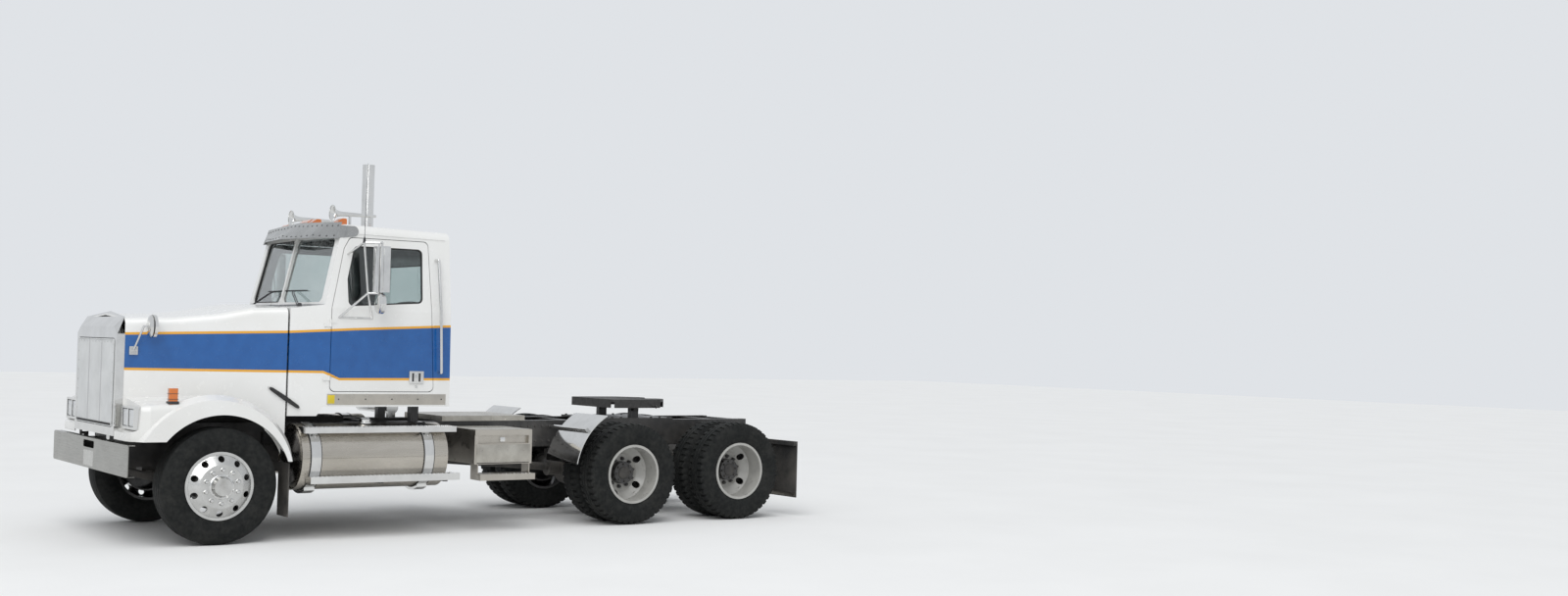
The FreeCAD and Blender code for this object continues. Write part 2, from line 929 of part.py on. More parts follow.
def front_wheel(name):
    """A disc wheel that bulges outward, with its hub, cap and brake drum, about its own axle."""
    body = doc.addObject("PartDesign::Body", name)
    disc = s.front_disc_out
    outline = rim_outline(Size(0, "0"), 1, disc)
    sketch = outline_sketch(body, name + "_rim_outline", "XZ_Plane", outline)
    revolution(body, name + "_rim", sketch, "X_Axis")
    hub_start = disc - s.disc_thickness
    drum_start = hub_start - s.drum_width
    bore = s.spindle_radius + s.running_gap
    spindle_end = s.kingpin_out - s.front_track_half + s.spindle_length + s.running_gap
    hub = outline_sketch(body, name + "_hub_outline", "XZ_Plane", [
        (drum_start, s.drum_radius - s.drum_wall),
        (drum_start, s.drum_radius),
        (hub_start - s.drum_inset, s.drum_radius),
        (hub_start - s.drum_inset, s.rear_hub_radius),
        (disc, s.rear_hub_radius),
        (disc, s.front_cap_radius),
        (disc + s.front_cap_length, s.front_cap_radius * 0.8),
        (disc + s.front_cap_length, 0),
        (spindle_end, 0),
        (spindle_end, bore),
        (drum_start + s.drum_inset, bore),
        (drum_start + s.drum_inset, s.front_cap_radius),
        (hub_start - s.drum_inset - s.drum_wall, s.front_cap_radius),
        (hub_start - s.drum_inset - s.drum_wall, s.drum_radius - s.drum_wall),
    ])
    revolution(body, name + "_hub", hub, "X_Axis")
    ring_of_holes(body, name + "_holes", s.hand_hole_radius, s.hand_hole_ring, s.hand_hole_count,
                  disc + s.overrun, s.overrun * 3)
    return body


def rear_wheels(name):
    """A pair of disc wheels bolted face to face, with their hub and brake drum."""
    body = doc.addObject("PartDesign::Body", name)
    outer = s.dual_spacing / 2
    middle = Size(0, "0")
    for which, centre, toward in (("outer", outer, -1), ("inner", -outer, 1)):
        sketch = outline_sketch(body, name + "_" + which + "_outline", "XZ_Plane",
                                rim_outline(centre, toward, middle))
        revolution(body, name + "_" + which, sketch, "X_Axis")
    bore = s.axle_tube_radius + s.running_gap
    drum_end = -s.disc_thickness - s.drum_inset
    drum_start = drum_end - s.drum_width
    hub = outline_sketch(body, name + "_hub_outline", "XZ_Plane", [
        (drum_start, s.drum_radius - s.drum_wall),
        (drum_start, s.drum_radius),
        (drum_end, s.drum_radius),
        (drum_end, s.rear_hub_radius),
        (s.rear_hub_out, s.rear_hub_radius),
        (s.rear_hub_out, 0),
        (s.rear_hub_out - s.disc_thickness, 0),
        (s.rear_hub_out - s.disc_thickness, bore),
        (drum_start + s.drum_inset, bore),
        (drum_start + s.drum_inset, s.front_cap_radius),
        (drum_end - s.drum_wall, s.front_cap_radius),
        (drum_end - s.drum_wall, s.drum_radius - s.drum_wall),
    ])
    revolution(body, name + "_hub", hub, "X_Axis")
    ring_of_holes(body, name + "_holes", s.rear_hole_radius, s.rear_hole_ring, s.rear_hole_count,
                  s.overrun, s.overrun * 2)
    return body


# Frame: two channel rails, the cross members between them and the plates that carry the bumper.
def frame():
    rail = doc.addObject("PartDesign::Body", "rail")
    inner = s.rail_out - s.rail_flange
    low = s.rail_top - s.rail_height
    sketch = outline_sketch(rail, "rail_outline", "XZ_Plane", [
        (inner, low),
        (s.rail_out, low),
        (s.rail_out, s.rail_top),
        (inner, s.rail_top),
        (inner, s.rail_top - s.rail_wall),
        (s.rail_out - s.rail_wall, s.rail_top - s.rail_wall),
        (s.rail_out - s.rail_wall, low + s.rail_wall),
        (inner, low + s.rail_wall),
    ])
    length = rail.newObject("PartDesign::Pad", "rail_pad")
    length.Profile = sketch
    length.Reversed = True
    bind(length, "Length", s.rail_rear - s.rail_front)
    place(rail, y=s.rail_front)
    web = s.rail_out - s.rail_wall
    members = []
    places = {
        "front": s.rail_front,
        "mid": s.gearbox_rear + s.rail_height,
        "deck": s.deck_front + s.rail_height,
        "axle1": axle_y["drive1"] - s.rail_height,
        "pivot": s.wheelbase,
        "axle2": axle_y["drive2"] + s.rail_height,
        "tail": s.rail_rear - s.cross_width,
    }
    for which, y in places.items():
        high = s.rail_top - s.rail_wall
        members.append(box("cross_" + which, (-web, y, high - s.cross_height),
                           (web, y + s.cross_width, high)))
    for which, y, high in (("front", s.cab_pad_front, s.cowl_low), ("rear", s.cab_pad_rear, s.sill_low)):
        pad = box("cab_pad_" + which, (s.rail_out - s.cab_pad_width, y, s.rail_top),
                  (s.rail_out, y + s.cab_pad_width, high))
        members += [pad, mirrored("cab_pad_right_" + which, pad)]
    plate = box("horn_plate", (s.rail_out, -s.front_overhang + s.bumper_wall, s.horn_plate_low),
                (s.rail_out + s.rail_wall, s.rail_front + s.rail_height, s.horn_plate_high))
    horn = fuse("bumper_horn", [plate, shaped("hood_ear", hood_ear())])
    return fuse("frame_union", [rail, mirrored("rail_right", rail), horn,
                                mirrored("bumper_horn_right", horn)] + members)


def hood_ear():
    """The ear on the frame that the hood pivots on, up behind the bumper and over its top."""
    y = s.hood_pivot_y
    z = s.hood_pivot_z
    radius = s.hood_ear_radius
    back = -s.front_overhang + s.bumper_depth + s.bumper_wall
    ear = face(side_points([
        (back, s.horn_plate_high), (back + s.hood_ear_foot, s.horn_plate_high),
        (back + s.hood_ear_foot, z + radius), (y, z + radius), (y, z - radius), (back, z - radius),
    ], s.rail_out)).extrude(Vector(s.rail_wall, 0, 0))
    ear = ear.fuse(Part.makeCylinder(radius, s.rail_wall, Vector(s.rail_out, y, z), Vector(1, 0, 0)))
    bore = Part.makeCylinder(s.hood_pin_radius + s.running_gap, s.rail_wall * 3,
                             Vector(s.rail_out - s.rail_wall, y, z), Vector(1, 0, 0))
    return ear.cut(bore)


def front_axle():
    """The dropped beam with its kingpin eyes, and the leaf springs that it carries."""
    half = s.beam_width / 2
    outer = s.kingpin_out
    left = face(front_points([
        (0, s.beam_low), (s.beam_rise_start, s.beam_low), (outer - s.beam_flat, s.eye_low),
        (outer, s.eye_low), (outer, s.eye_high), (outer - s.beam_flat, s.eye_high),
        (s.beam_rise_start, s.beam_high), (0, s.beam_high),
    ], -half)).extrude(Vector(0, s.beam_width, 0))
    left = left.fuse(Part.makeCylinder(s.kingpin_radius, s.eye_high - s.eye_low,
                                       Vector(outer, 0, s.eye_low)))
    clearance = Part.makeBox(s.web_out * 4, s.beam_width * 2, s.eye_high * 2,
                             Vector(outer + s.kingpin_radius, -s.beam_width, 0))
    left = left.cut(clearance)
    beam = left.fuse(flip(left)).removeSplitter()
    spring = leaf_spring()
    return shaped("front_axle_shape", beam.multiFuse([spring, flip(spring)]).removeSplitter())


def leaf_spring():
    """One curved pack of leaves with the hangers that hold its ends to the rail."""
    half = s.spring_half_length
    low = s.beam_high
    end_low = low + s.spring_rise
    x = s.spring_out - s.spring_width / 2
    under = Part.Arc(Vector(x, -half, end_low), Vector(x, 0, low), Vector(x, half, end_low)).toShape()
    rise = Vector(0, 0, s.spring_thickness)
    top = Part.Arc(Vector(x, half, end_low) + rise, Vector(x, 0, low) + rise,
                   Vector(x, -half, end_low) + rise).toShape()
    ends = [Part.makeLine(Vector(x, half, end_low), Vector(x, half, end_low) + rise),
            Part.makeLine(Vector(x, -half, end_low) + rise, Vector(x, -half, end_low))]
    pack = Part.Face(Part.Wire([under, ends[0], top, ends[1]])).extrude(Vector(s.spring_width, 0, 0))
    seat = Part.makeBox(s.spring_width, s.beam_width * 1.5, s.spring_thickness,
                        Vector(x, -s.beam_width * 0.75, low))
    pack = pack.fuse(seat)
    rail_low = s.rail_top - s.rail_height
    for y in (-half + s.spring_hanger_length, half - s.spring_hanger_length * 2):
        pack = pack.fuse(Part.makeBox(s.spring_hanger_width, s.spring_hanger_length,
                                      rail_low - end_low, Vector(x, y, end_low)))
    return pack


def knuckle(side):
    """The steering knuckle: two lugs about the beam's eye, a web, a spindle and a steering arm."""
    lug = s.kingpin_radius
    outer = s.kingpin_out + s.web_out + s.web_thickness
    low = s.eye_low - s.running_gap - s.lug_height
    high = s.eye_high + s.running_gap
    shape = Part.makeBox(s.web_thickness, s.web_half_width * 2, high + s.lug_height - low,
                         Vector(s.kingpin_out + s.web_out, -s.web_half_width, low))
    for z in (low, high):
        shape = shape.fuse(Part.makeCylinder(lug, s.lug_height, Vector(s.kingpin_out, 0, z)))
        shape = shape.fuse(Part.makeBox(outer - s.kingpin_out, lug * 2, s.lug_height,
                                        Vector(s.kingpin_out, -lug, z)))
    spindle = Part.makeCylinder(s.spindle_radius, s.spindle_length, Vector(s.kingpin_out, 0, s.tyre_radius),
                                Vector(1, 0, 0))
    web_box = Part.makeBox(s.web_out, lug * 3, high - s.eye_low + s.running_gap * 2,
                           Vector(s.kingpin_out - s.running_gap, -lug * 1.5, s.eye_low - s.running_gap))
    shape = shape.fuse(spindle.cut(web_box))
    arm = Part.makeBox(s.arm_width, s.arm_length, s.arm_thickness,
                       Vector(s.kingpin_out - s.arm_width / 2, 0, low))
    ball = Part.makeCylinder(s.arm_width / 2, s.arm_thickness,
                             Vector(s.kingpin_out, s.arm_length, low))
    shape = shape.multiFuse([arm, ball]).removeSplitter()
    if side < 0:
        shape = flip(shape)
    return shaped("knuckle_shape", shape)


def tie_rod():
    """The bar that ties the two steering arms together, under their ends."""
    ball_x = s.kingpin_out
    arm_low = s.eye_low - s.running_gap - s.lug_height
    z = arm_low - s.tie_rod_drop
    bar = Part.makeCylinder(s.tie_rod_radius, ball_x * 2, Vector(-ball_x, s.arm_length, z), Vector(1, 0, 0))
    for x in (-ball_x, ball_x):
        bar = bar.fuse(Part.makeCylinder(s.tie_rod_radius, arm_low - s.running_gap - z,
                                         Vector(x, s.arm_length, z)))
        bar = bar.fuse(Part.makeSphere(s.tie_rod_radius, Vector(x, s.arm_length, z)))
    return shaped("tie_rod_shape", bar)


def drive_axles():
    """Two axle housings with their differentials, and the shafts from the gearbox to them."""
    pieces = []
    tube_end = s.dual_centre + s.rear_hub_out - s.disc_thickness - s.running_gap
    shaft_start = Vector(0, s.gearbox_rear + s.flange_thickness, s.output_height)
    yoke = Part.makeCylinder(s.shaft_radius, s.flange_thickness * 4,
                             Vector(0, s.gearbox_rear, s.output_height), Vector(0, 1, 0))
    pieces.append(yoke)
    for which, y in axle_y.items():
        pieces.append(Part.makeCylinder(s.axle_tube_radius, tube_end * 2,
                                        Vector(-tube_end, y, s.tyre_radius), Vector(1, 0, 0)))
        pieces.append(Part.makeCylinder(s.banjo_radius, s.banjo_width,
                                        Vector(-s.banjo_width / 2, y, s.tyre_radius), Vector(1, 0, 0)))
        nose = Vector(0, y - s.nose_length, s.tyre_radius)
        pieces.append(Part.makeCylinder(s.nose_radius, s.nose_length, nose, Vector(0, 1, 0)))
        pieces.append(bar_between(shaft_start, nose, s.shaft_radius * 0.8))
        shaft_start = Vector(0, y, s.tyre_radius)
    return shaped("drive_axles_shape", pieces[0].multiFuse(pieces[1:]))


def rear_suspension():
    """An equaliser beam on each side that rests on both axles, under a saddle on the rail."""
    low = s.tyre_radius + s.axle_tube_radius
    start = s.beam_out - s.equaliser_width / 2
    end = s.beam_out + s.equaliser_width / 2
    beam = box("equaliser", (start, axle_y["drive1"] - s.equaliser_overhang, low),
               (end, axle_y["drive2"] + s.equaliser_overhang, low + s.equaliser_height))
    saddle = box("saddle", (start, s.wheelbase - s.saddle_length / 2, low + s.equaliser_height),
                 (end, s.wheelbase + s.saddle_length / 2, s.rail_top - s.rail_height))
    return pair("rear_suspension_pair", fuse("equaliser_union", [beam, saddle]))


def engine():
    """The engine block, the radiator ahead of it and the gearbox behind it."""
    block = box("engine_block", (-s.engine_width / 2, s.engine_front, s.engine_low),
                (s.engine_width / 2, s.engine_rear, s.engine_high))
    back = s.radiator_front + s.radiator_depth
    radiator = box("radiator", (-s.radiator_width / 2, s.radiator_front, s.rail_top),
                   (s.radiator_width / 2, back, s.radiator_high))
    shroud = box("fan_shroud", (-s.engine_width / 4, back, s.rail_top),
                 (s.engine_width / 4, s.engine_front, s.engine_high - s.radiator_depth))
    gearbox = box("gearbox", (-s.gearbox_width / 2, s.engine_rear, s.gearbox_low),
                  (s.gearbox_width / 2, s.gearbox_rear, s.gearbox_high))
    return fuse("engine_union", [block, radiator, shroud, gearbox])


# Hood: a tapered shell with a ridge along its top, fused with fenders and open below and behind.
def crowned_section(y, half, base, top, ridge, corner):
    """A cross section with upright sides, rounded shoulders and a ridge along the middle."""
    turn = corner * (1 - math.sqrt(0.5))
    edges = [
        Part.makeLine(Vector(half, y, base), Vector(half, y, top - corner)),
        Part.Arc(Vector(half, y, top - corner), Vector(half - turn, y, top - turn),
                 Vector(half - corner, y, top)).toShape(),
        Part.makeLine(Vector(half - corner, y, top), Vector(0, y, ridge)),
        Part.makeLine(Vector(0, y, ridge), Vector(-half + corner, y, top)),
        Part.Arc(Vector(-half + corner, y, top), Vector(-half + turn, y, top - turn),
                 Vector(-half, y, top - corner)).toShape(),
        Part.makeLine(Vector(-half, y, top - corner), Vector(-half, y, base)),
        Part.makeLine(Vector(-half, y, base), Vector(half, y, base)),
    ]
    return Part.Wire(edges)


def between(stations, y):
    """The height at a place along the truck, on straight lines between stations."""
    for (start_y, start), (end_y, end) in zip(stations, stations[1:]):
        if y <= end_y or end_y == stations[-1][0]:
            return start + (end - start) * (y - start_y) / (end_y - start_y)


def hood_upper(inset):
    """The hood above the fenders, as a block smaller by an inset and longer at both ends."""
    length = s.hood_rear - s.hood_front
    over = inset and s.overrun
    heights = [(s.hood_front, s.ridge_front), (s.hood_front + length * 0.31, s.ridge_quarter),
               (s.hood_front + length * 0.58, s.ridge_half), (s.hood_front + length * 0.78, s.ridge_late),
               (s.hood_rear, s.ridge_rear)]
    taper = (s.hood_rear_half - s.hood_front_half) / length
    sections = []
    for y in [s.hood_front - over] + [y for y, z in heights[1:-1]] + [s.hood_rear + over]:
        half = s.hood_front_half + taper * (y - s.hood_front) - inset
        ridge = between(heights, y) - inset
        sections.append(crowned_section(y, half, s.fender_base - over, ridge - s.shoulder_drop, ridge,
                                        s.hood_corner - inset))
    return Part.makeLoft(sections, True, True)


def fender_block(inset):
    """The two fenders' form as one block across the truck, smaller by an inset."""
    over = inset and s.overrun
    side = s.fender_half - s.fender_inset
    heights = [(s.fender_front, s.fender_nose_top), (s.fender_quarter_y, s.fender_quarter_top),
               (s.fender_crest_y, s.fender_crest_top), (s.fender_back_y, s.fender_back_top),
               (s.fender_tail_y, s.fender_tail_top), (s.hood_rear, s.fender_rear_top)]
    radius = side - s.fender_corner_out - inset
    front = s.fender_front + inset
    places = []
    for angle in (0, 30, 60, 90):
        turn = math.radians(angle)
        places.append((front + radius * (1 - math.cos(turn)), s.fender_corner_out + radius * math.sin(turn)))
    places += [(s.fender_quarter_y, side - inset), (s.fender_crest_y, side - inset),
               (s.fender_back_y, s.fender_back_half - inset), (s.fender_tail_y, s.fender_tail_half - inset),
               (s.hood_rear + over, s.fender_rear_half - inset)]
    sections = []
    for y, half in places:
        top = between(heights, y) - inset
        sections.append(crowned_section(y, half, s.fender_base - over, top, top + s.fender_crown,
                                        s.fender_corner - inset))
    return Part.makeLoft(sections, True, True).cut(fender_face_cutter(inset))


def fender_face_cutter(inset):
    """What is taken off the fenders' front above the ledge under the headlamps."""
    reach = s.fender_half + s.overrun
    face_y = s.fender_front + s.fender_ledge_depth + inset
    lead = s.fender_front - s.overrun
    return face(side_points([
        (lead, s.fender_ledge_low - inset), (s.fender_front + inset, s.fender_ledge_low - inset),
        (face_y, s.fender_ledge_high - inset),
        (face_y + s.fender_ledge_lean, s.fender_crest_top + s.fender_crown),
        (lead, s.fender_crest_top + s.fender_crown),
    ], -reach)).extrude(Vector(reach * 2, 0, 0))


def arch_flare(inset):
    """A raised band about each wheel opening, wide at the front and narrow at the rear."""
    base = s.fender_half - s.flare_slope
    side = s.fender_half - inset
    outer = Part.makeCone(s.flare_radius + s.flare_slope / 2 - inset, s.flare_radius - inset, side - base,
                          Vector(base, s.flare_y, s.flare_z), Vector(1, 0, 0))
    reach = s.fender_half + s.overrun
    behind = Part.makeBox(reach, s.overrun * 10, s.fender_crest_top * 2, Vector(0, s.hood_rear - inset, 0))
    band = outer.cut(behind)
    return band.fuse(flip(band))


def hood_form():
    """The hood and fenders as one solid block, with the fenders' lower edge."""
    reach = s.fender_half + s.overrun
    below = face(side_points([
        (s.fender_front - s.overrun, s.fender_front_low), (-s.arch_radius / 2, s.fender_front_low),
        (s.arch_radius / 2, s.fender_tip_low), (s.hood_rear + s.overrun, s.fender_tip_low),
        (s.hood_rear + s.overrun, -s.flare_radius), (s.fender_front - s.overrun, -s.flare_radius),
    ], -reach)).extrude(Vector(reach * 2, 0, 0))
    return hood_upper(0).fuse(fender_block(0)).fuse(arch_flare(0)).cut(below)


def hood(form):
    wall = s.hood_wall
    shell = form.cut(hood_upper(wall).fuse(fender_block(wall)).fuse(arch_flare(wall)))
    reach = s.fender_half + s.overrun
    arch = Part.makeCylinder(s.arch_radius, reach * 2, Vector(-reach, 0, s.tyre_radius), Vector(1, 0, 0))
    shell = shell.cut(arch)
    lead = s.hood_front - s.fender_front + s.overrun
    mouth = Part.makeBox(s.grille_half * 2 + s.panel_gap, lead, s.grille_high * 2,
                         Vector(-s.grille_half - s.panel_gap / 2, s.hood_front - lead, 0))
    shell = shell.cut(mouth)
    return shaped("hood_shape", shell)


def grille_surround(form):
    """The bright frame about the radiator opening, with its sloping crown."""
    depth = s.hood_front - s.grille_front - s.running_gap
    outline = both_sides([
        (s.grille_half, s.grille_low),
        (s.grille_half, s.grille_side_high),
        (s.grille_top_half, s.grille_high),
    ])
    front = s.grille_front
    ring = face(front_points(outline, front)).extrude(Vector(0, depth, 0))
    hollow = Part.makeBox((s.grille_half - s.grille_wall) * 2, depth, s.opening_high - s.grille_low,
                          Vector(-s.grille_half + s.grille_wall, front + s.grille_wall,
                                 s.grille_low + s.grille_wall))
    opening = Part.makeBox(s.opening_half * 2, depth * 2, s.opening_high - s.opening_low,
                           Vector(-s.opening_half, front - depth / 2, s.opening_low))
    ring = ring.cut(hollow).cut(opening)
    low = [Vector(-s.grille_top_half, front, s.grille_high), Vector(s.grille_top_half, front, s.grille_high)]
    high = [Vector(s.crown_rear_half, s.crown_rear_y, s.crown_rear_high),
            Vector(0, s.crown_apex_y, s.crown_apex_high),
            Vector(-s.crown_rear_half, s.crown_rear_y, s.crown_rear_high)]
    side = Vector(s.grille_half, front, s.grille_side_high)
    other = Vector(-s.grille_half, front, s.grille_side_high)
    facets = [
        [low[0], low[1], high[0]], [low[0], high[0], high[1]], [low[0], high[1], high[2]],
        [low[1], side, high[0]], [low[0], high[2], other],
    ]
    sheets = [face(points).extrude(Vector(0, s.grille_wall, 0)) for points in facets]
    crown = sheets[0].multiFuse(sheets[1:])
    surround = ring.fuse(crown).removeSplitter().cut(form)
    lug = hood_lug()
    return shaped("grille_shape", surround.fuse(lug).fuse(flip(lug)))


def hood_lug():
    """The lug under the surround with the pin that turns in the frame's ear."""
    y = s.hood_pivot_y
    z = s.hood_pivot_z
    radius = s.hood_lug_radius
    start = s.rail_out + s.rail_wall + s.running_gap
    lug = Part.makeBox(s.rail_wall, radius * 2, s.grille_low - z, Vector(start, y - radius, z))
    lug = lug.fuse(Part.makeCylinder(radius, s.rail_wall, Vector(start, y, z), Vector(1, 0, 0)))
    pin = Part.makeCylinder(s.hood_pin_radius, s.rail_wall * 3 + s.running_gap,
                            Vector(start + s.rail_wall, y, z), Vector(-1, 0, 0))
    return lug.fuse(pin)


def winter_front():
    cover = box("cover", (-s.cover_half, s.grille_front - s.cover_thickness, s.cover_low),
                (s.cover_half, s.grille_front, s.cover_high))
    return compound("cover_group", [cover])


def headlamps(form):
    """A bezel on each fender's front, with a pocket for each of its two lamps."""
    rim = s.headlamp_rim
    lamp = Part.makeBox(s.headlamp_width, s.headlamp_depth, s.headlamp_height,
                        Vector(s.headlamp_in, s.headlamp_y, s.headlamp_low))
    width = s.headlamp_width / 2 - rim * 1.5
    for start in (s.headlamp_in + rim, s.headlamp_in + rim * 2 + width):
        lamp = lamp.cut(Part.makeBox(width, s.headlamp_recess, s.headlamp_height - rim * 2,
                                     Vector(start, s.headlamp_y, s.headlamp_low + rim)))
    lamp = lamp.cut(form)
    return shaped("headlamps_shape", Part.makeCompound([lamp, flip(lamp)]))


def signal_lamps(form):
    """A turn signal that stands on each fender."""
    start = s.signal_out - s.signal_width / 2
    end = s.signal_out + s.signal_width / 2
    front = s.signal_y - s.signal_length / 2
    rear = s.signal_y + s.signal_length / 2
    outline = rounded_face(plan_points([(start, front), (end, front), (end, rear), (start, rear)],
                                       s.signal_low), s.signal_corner)
    lamp = outline.extrude(Vector(0, 0, s.signal_high - s.signal_low)).cut(form)
    return shaped("signals_shape", Part.makeCompound([lamp, flip(lamp)]))


def hood_mirrors(form):
    """A convex disc on a bent stalk from a small plate on each side of the hood."""
    taper = (s.hood_rear_half - s.hood_front_half) / (s.hood_rear - s.hood_front)
    size = s.mirror_base_size
    wall_x = s.hood_front_half + taper * (s.mirror_base_y + size / 2 - s.hood_front)
    plate = Part.makeBox(s.mirror_base_depth * 3, size, size,
                         Vector(wall_x - s.mirror_base_depth * 2, s.mirror_base_y - size / 2,
                                s.mirror_base_z - size / 2))
    root = Vector(wall_x + s.mirror_base_depth / 2, s.mirror_base_y, s.mirror_base_z)
    disc = Vector(s.hood_disc_out, s.hood_disc_y, s.hood_disc_z)
    bend = Vector((root.x + disc.x * 2) / 3, (root.y + disc.y) / 2, disc.z)
    stalk = bar_between(root, bend, s.stalk_radius).fuse(bar_between(bend, disc, s.stalk_radius))
    stalk = stalk.fuse(Part.makeSphere(s.stalk_radius, bend))
    round_back = Part.makeCylinder(s.hood_disc_radius, s.hood_disc_depth, disc, Vector(0, 1, 0))
    one = plate.multiFuse([stalk, round_back]).cut(form)
    return shaped("hood_mirrors_shape", Part.makeCompound([one, flip(one)]))


def bumper():
    """A bent channel of sheet with rounded ends and a slot in the middle of its face."""
    body = doc.addObject("PartDesign::Body", "bumper_body")
    front = -s.front_overhang
    rear = front + s.bumper_depth
    wall = s.bumper_wall
    sketch = outline_sketch(body, "bumper_outline", "YZ_Plane", [
        (front, s.bumper_low), (rear, s.bumper_low), (rear, s.bumper_low + wall),
        (front + wall, s.bumper_low + wall), (front + wall, s.bumper_high - wall),
        (rear, s.bumper_high - wall), (rear, s.bumper_high), (front, s.bumper_high),
    ])
    sketch.setExpression("AttachmentOffset.Base.z", expression(-s.bumper_half))
    pad = body.newObject("PartDesign::Pad", "bumper_pad")
    pad.Profile = sketch
    bind(pad, "Length", s.bumper_half * 2)
    lead = front - s.overrun
    face_outline = rounded_face(front_points([
        (s.bumper_half, s.bumper_low), (s.bumper_half, s.bumper_high),
        (-s.bumper_half, s.bumper_high), (-s.bumper_half, s.bumper_low),
    ], lead), s.bumper_corner)
    slot = rounded_face(front_points([
        (s.bumper_slot_half, s.bumper_slot_low), (s.bumper_slot_half, s.bumper_slot_high),
        (-s.bumper_slot_half, s.bumper_slot_high), (-s.bumper_slot_half, s.bumper_slot_low),
    ], lead), s.bumper_slot_corner)
    through = Vector(0, s.overrun * 3, 0)
    stamp = shaped("bumper_stamp", face_outline.extrude(through).cut(slot.extrude(through)))
    stamped = doc.addObject("Part::Common", "bumper_stamped")
    stamped.Base = body
    stamped.Tool = stamp
    return stamped


# Cab: three outlines, from the side, the front and above, meet in one hollow shell.
def windscreen_cutter(inset):
    """What lies ahead of the two windscreen planes, which meet at the middle post."""
    slope = (s.glass_head_y - s.glass_foot_y) / (s.glass_head - s.glass_foot)
    foot = s.glass_foot - s.overrun * 3
    head = s.cab_roof + s.overrun
    lead = s.cab_front - s.overrun * 2
    foot_y = s.glass_foot_y + inset + slope * (foot - s.glass_foot)
    outline = side_points([
        (foot_y, foot), (s.glass_head_y + inset, s.glass_head - inset / 2),
        (s.brow_y + inset, s.cab_roof - s.brow_drop - inset),
        (s.brow_y + inset, head), (lead, head), (lead, foot),
    ])
    half = s.cab_half + s.overrun
    sweep = s.glass_sweep * half / s.cab_half
    halves = [face(outline).extrude(Vector(half * sign, sweep, 0)) for sign in (1, -1)]
    cowl = side_points([
        (lead, s.cowl_top - inset), (s.cab_front, s.cowl_top - inset),
        (s.cab_widest_y, s.glass_foot - inset), (s.cab_rear, s.glass_foot - inset),
        (s.cab_rear, head), (lead, head),
    ], -half)
    return halves[0].fuse(halves[1]).common(face(cowl).extrude(Vector(half * 2, 0, 0)))


def cab_block(inset):
    """The cab's form as a solid block, smaller by an inset all round."""
    half = s.cab_half - inset
    side = rounded_side(inset)
    length = s.cab_rear - s.cab_front + s.overrun * 2
    across = front_face(inset).extrude(Vector(0, length, -s.roof_fall))
    plan = face(plan_points(both_sides([
        (s.cab_front_half - inset, s.cab_front),
        (half, s.cab_widest_y),
        (half, s.cab_rear),
    ]))).extrude(Vector(0, 0, s.cab_roof + s.overrun))
    block = side.common(across).common(plan)
    return block.cut(windscreen_cutter(inset))


def rounded_side(inset):
    """The cab's side outline drawn across its whole width."""
    half = s.cab_half + s.overrun
    radius = s.roof_rear_corner - inset
    y = s.cab_rear_top - s.roof_rear_corner
    z = roof_height(0, s.cab_rear_top) - s.roof_rear_corner
    turn = radius * math.sqrt(0.5)
    outline = [
        (y + radius, z),
        (s.cab_rear - inset, s.sill_low + inset),
        (s.sill_start + inset, s.sill_low + inset),
        (s.cowl_low_end + inset, s.cowl_low + inset),
        (s.cab_front + inset, s.cowl_low + inset),
        (s.cab_front + inset, s.cab_roof + s.overrun),
        (y, z + radius),
    ]
    points = side_points(outline, -half)
    corner = Part.Arc(points[-1], Vector(-half, y + turn, z + turn), points[0]).toShape()
    return Part.Face(Part.Wire(Part.makePolygon(points).Edges + [corner])).extrude(Vector(half * 2, 0, 0))


def front_face(inset):
    """The cab's front outline, with its rounded roof edges."""
    y = s.cab_front - s.overrun
    half = s.cab_half - inset
    eave = s.cab_roof_half - inset
    corner = s.roof_corner
    side_top = s.cab_roof - s.roof_drop - inset
    turn = corner * (1 - math.sqrt(0.5))
    edges = []
    for sign in (1, -1):
        chain = [Vector(sign * half, y, s.cowl_low - s.overrun), Vector(sign * half, y, s.cab_belt),
                 Vector(sign * eave, y, side_top - corner)]
        edges += [Part.makeLine(chain[0], chain[1]), Part.makeLine(chain[1], chain[2])]
        edges.append(Part.Arc(chain[2], Vector(sign * (eave - turn), y, side_top - turn),
                              Vector(sign * (eave - corner), y, side_top)).toShape())
        edges.append(Part.makeLine(Vector(sign * (eave - corner), y, side_top),
                                   Vector(0, y, s.cab_roof - inset)))
    edges.append(Part.makeLine(Vector(half, y, s.cowl_low - s.overrun),
                               Vector(-half, y, s.cowl_low - s.overrun)))
    return Part.Face(Part.Wire(Part.__sortEdges__(edges)))


def door_outline(grow):
    """The door's outline from the side, larger by grow on every side."""
    return rounded_face(side_points([
        (s.door_front - grow, s.door_low - grow),
        (s.door_front - grow, s.door_front_high),
        (s.door_head_y - grow, s.door_head_front),
        (s.door_top_front_y - grow, s.door_top + grow),
        (s.door_top_rear_y + grow, s.door_top + grow),
        (s.door_rear_y + grow, s.door_low - grow),
    ]), s.door_corner)


def window_outline(grow):
    """The door window's outline from the side."""
    return rounded_face(side_points([
        (s.window_front_y - grow, s.window_low_front - grow),
        (s.window_mid_y - grow, s.window_mid),
        (s.window_top_front_y - grow, s.window_top + grow),
        (s.window_rear_y + grow, s.window_top + grow),
        (s.window_rear_y + grow, s.window_low_rear - grow),
    ]), s.window_corner)


def screen_outline(grow):
    """One half of the windscreen opening, seen from the front."""
    return rounded_face(front_points([
        (s.post_half - grow, s.screen_low - grow),
        (s.screen_half + grow, s.screen_low - grow),
        (s.screen_top_half + grow, s.screen_high + grow),
        (s.post_half - grow, s.screen_high + grow),
    ], s.cab_front), s.screen_corner / 2)


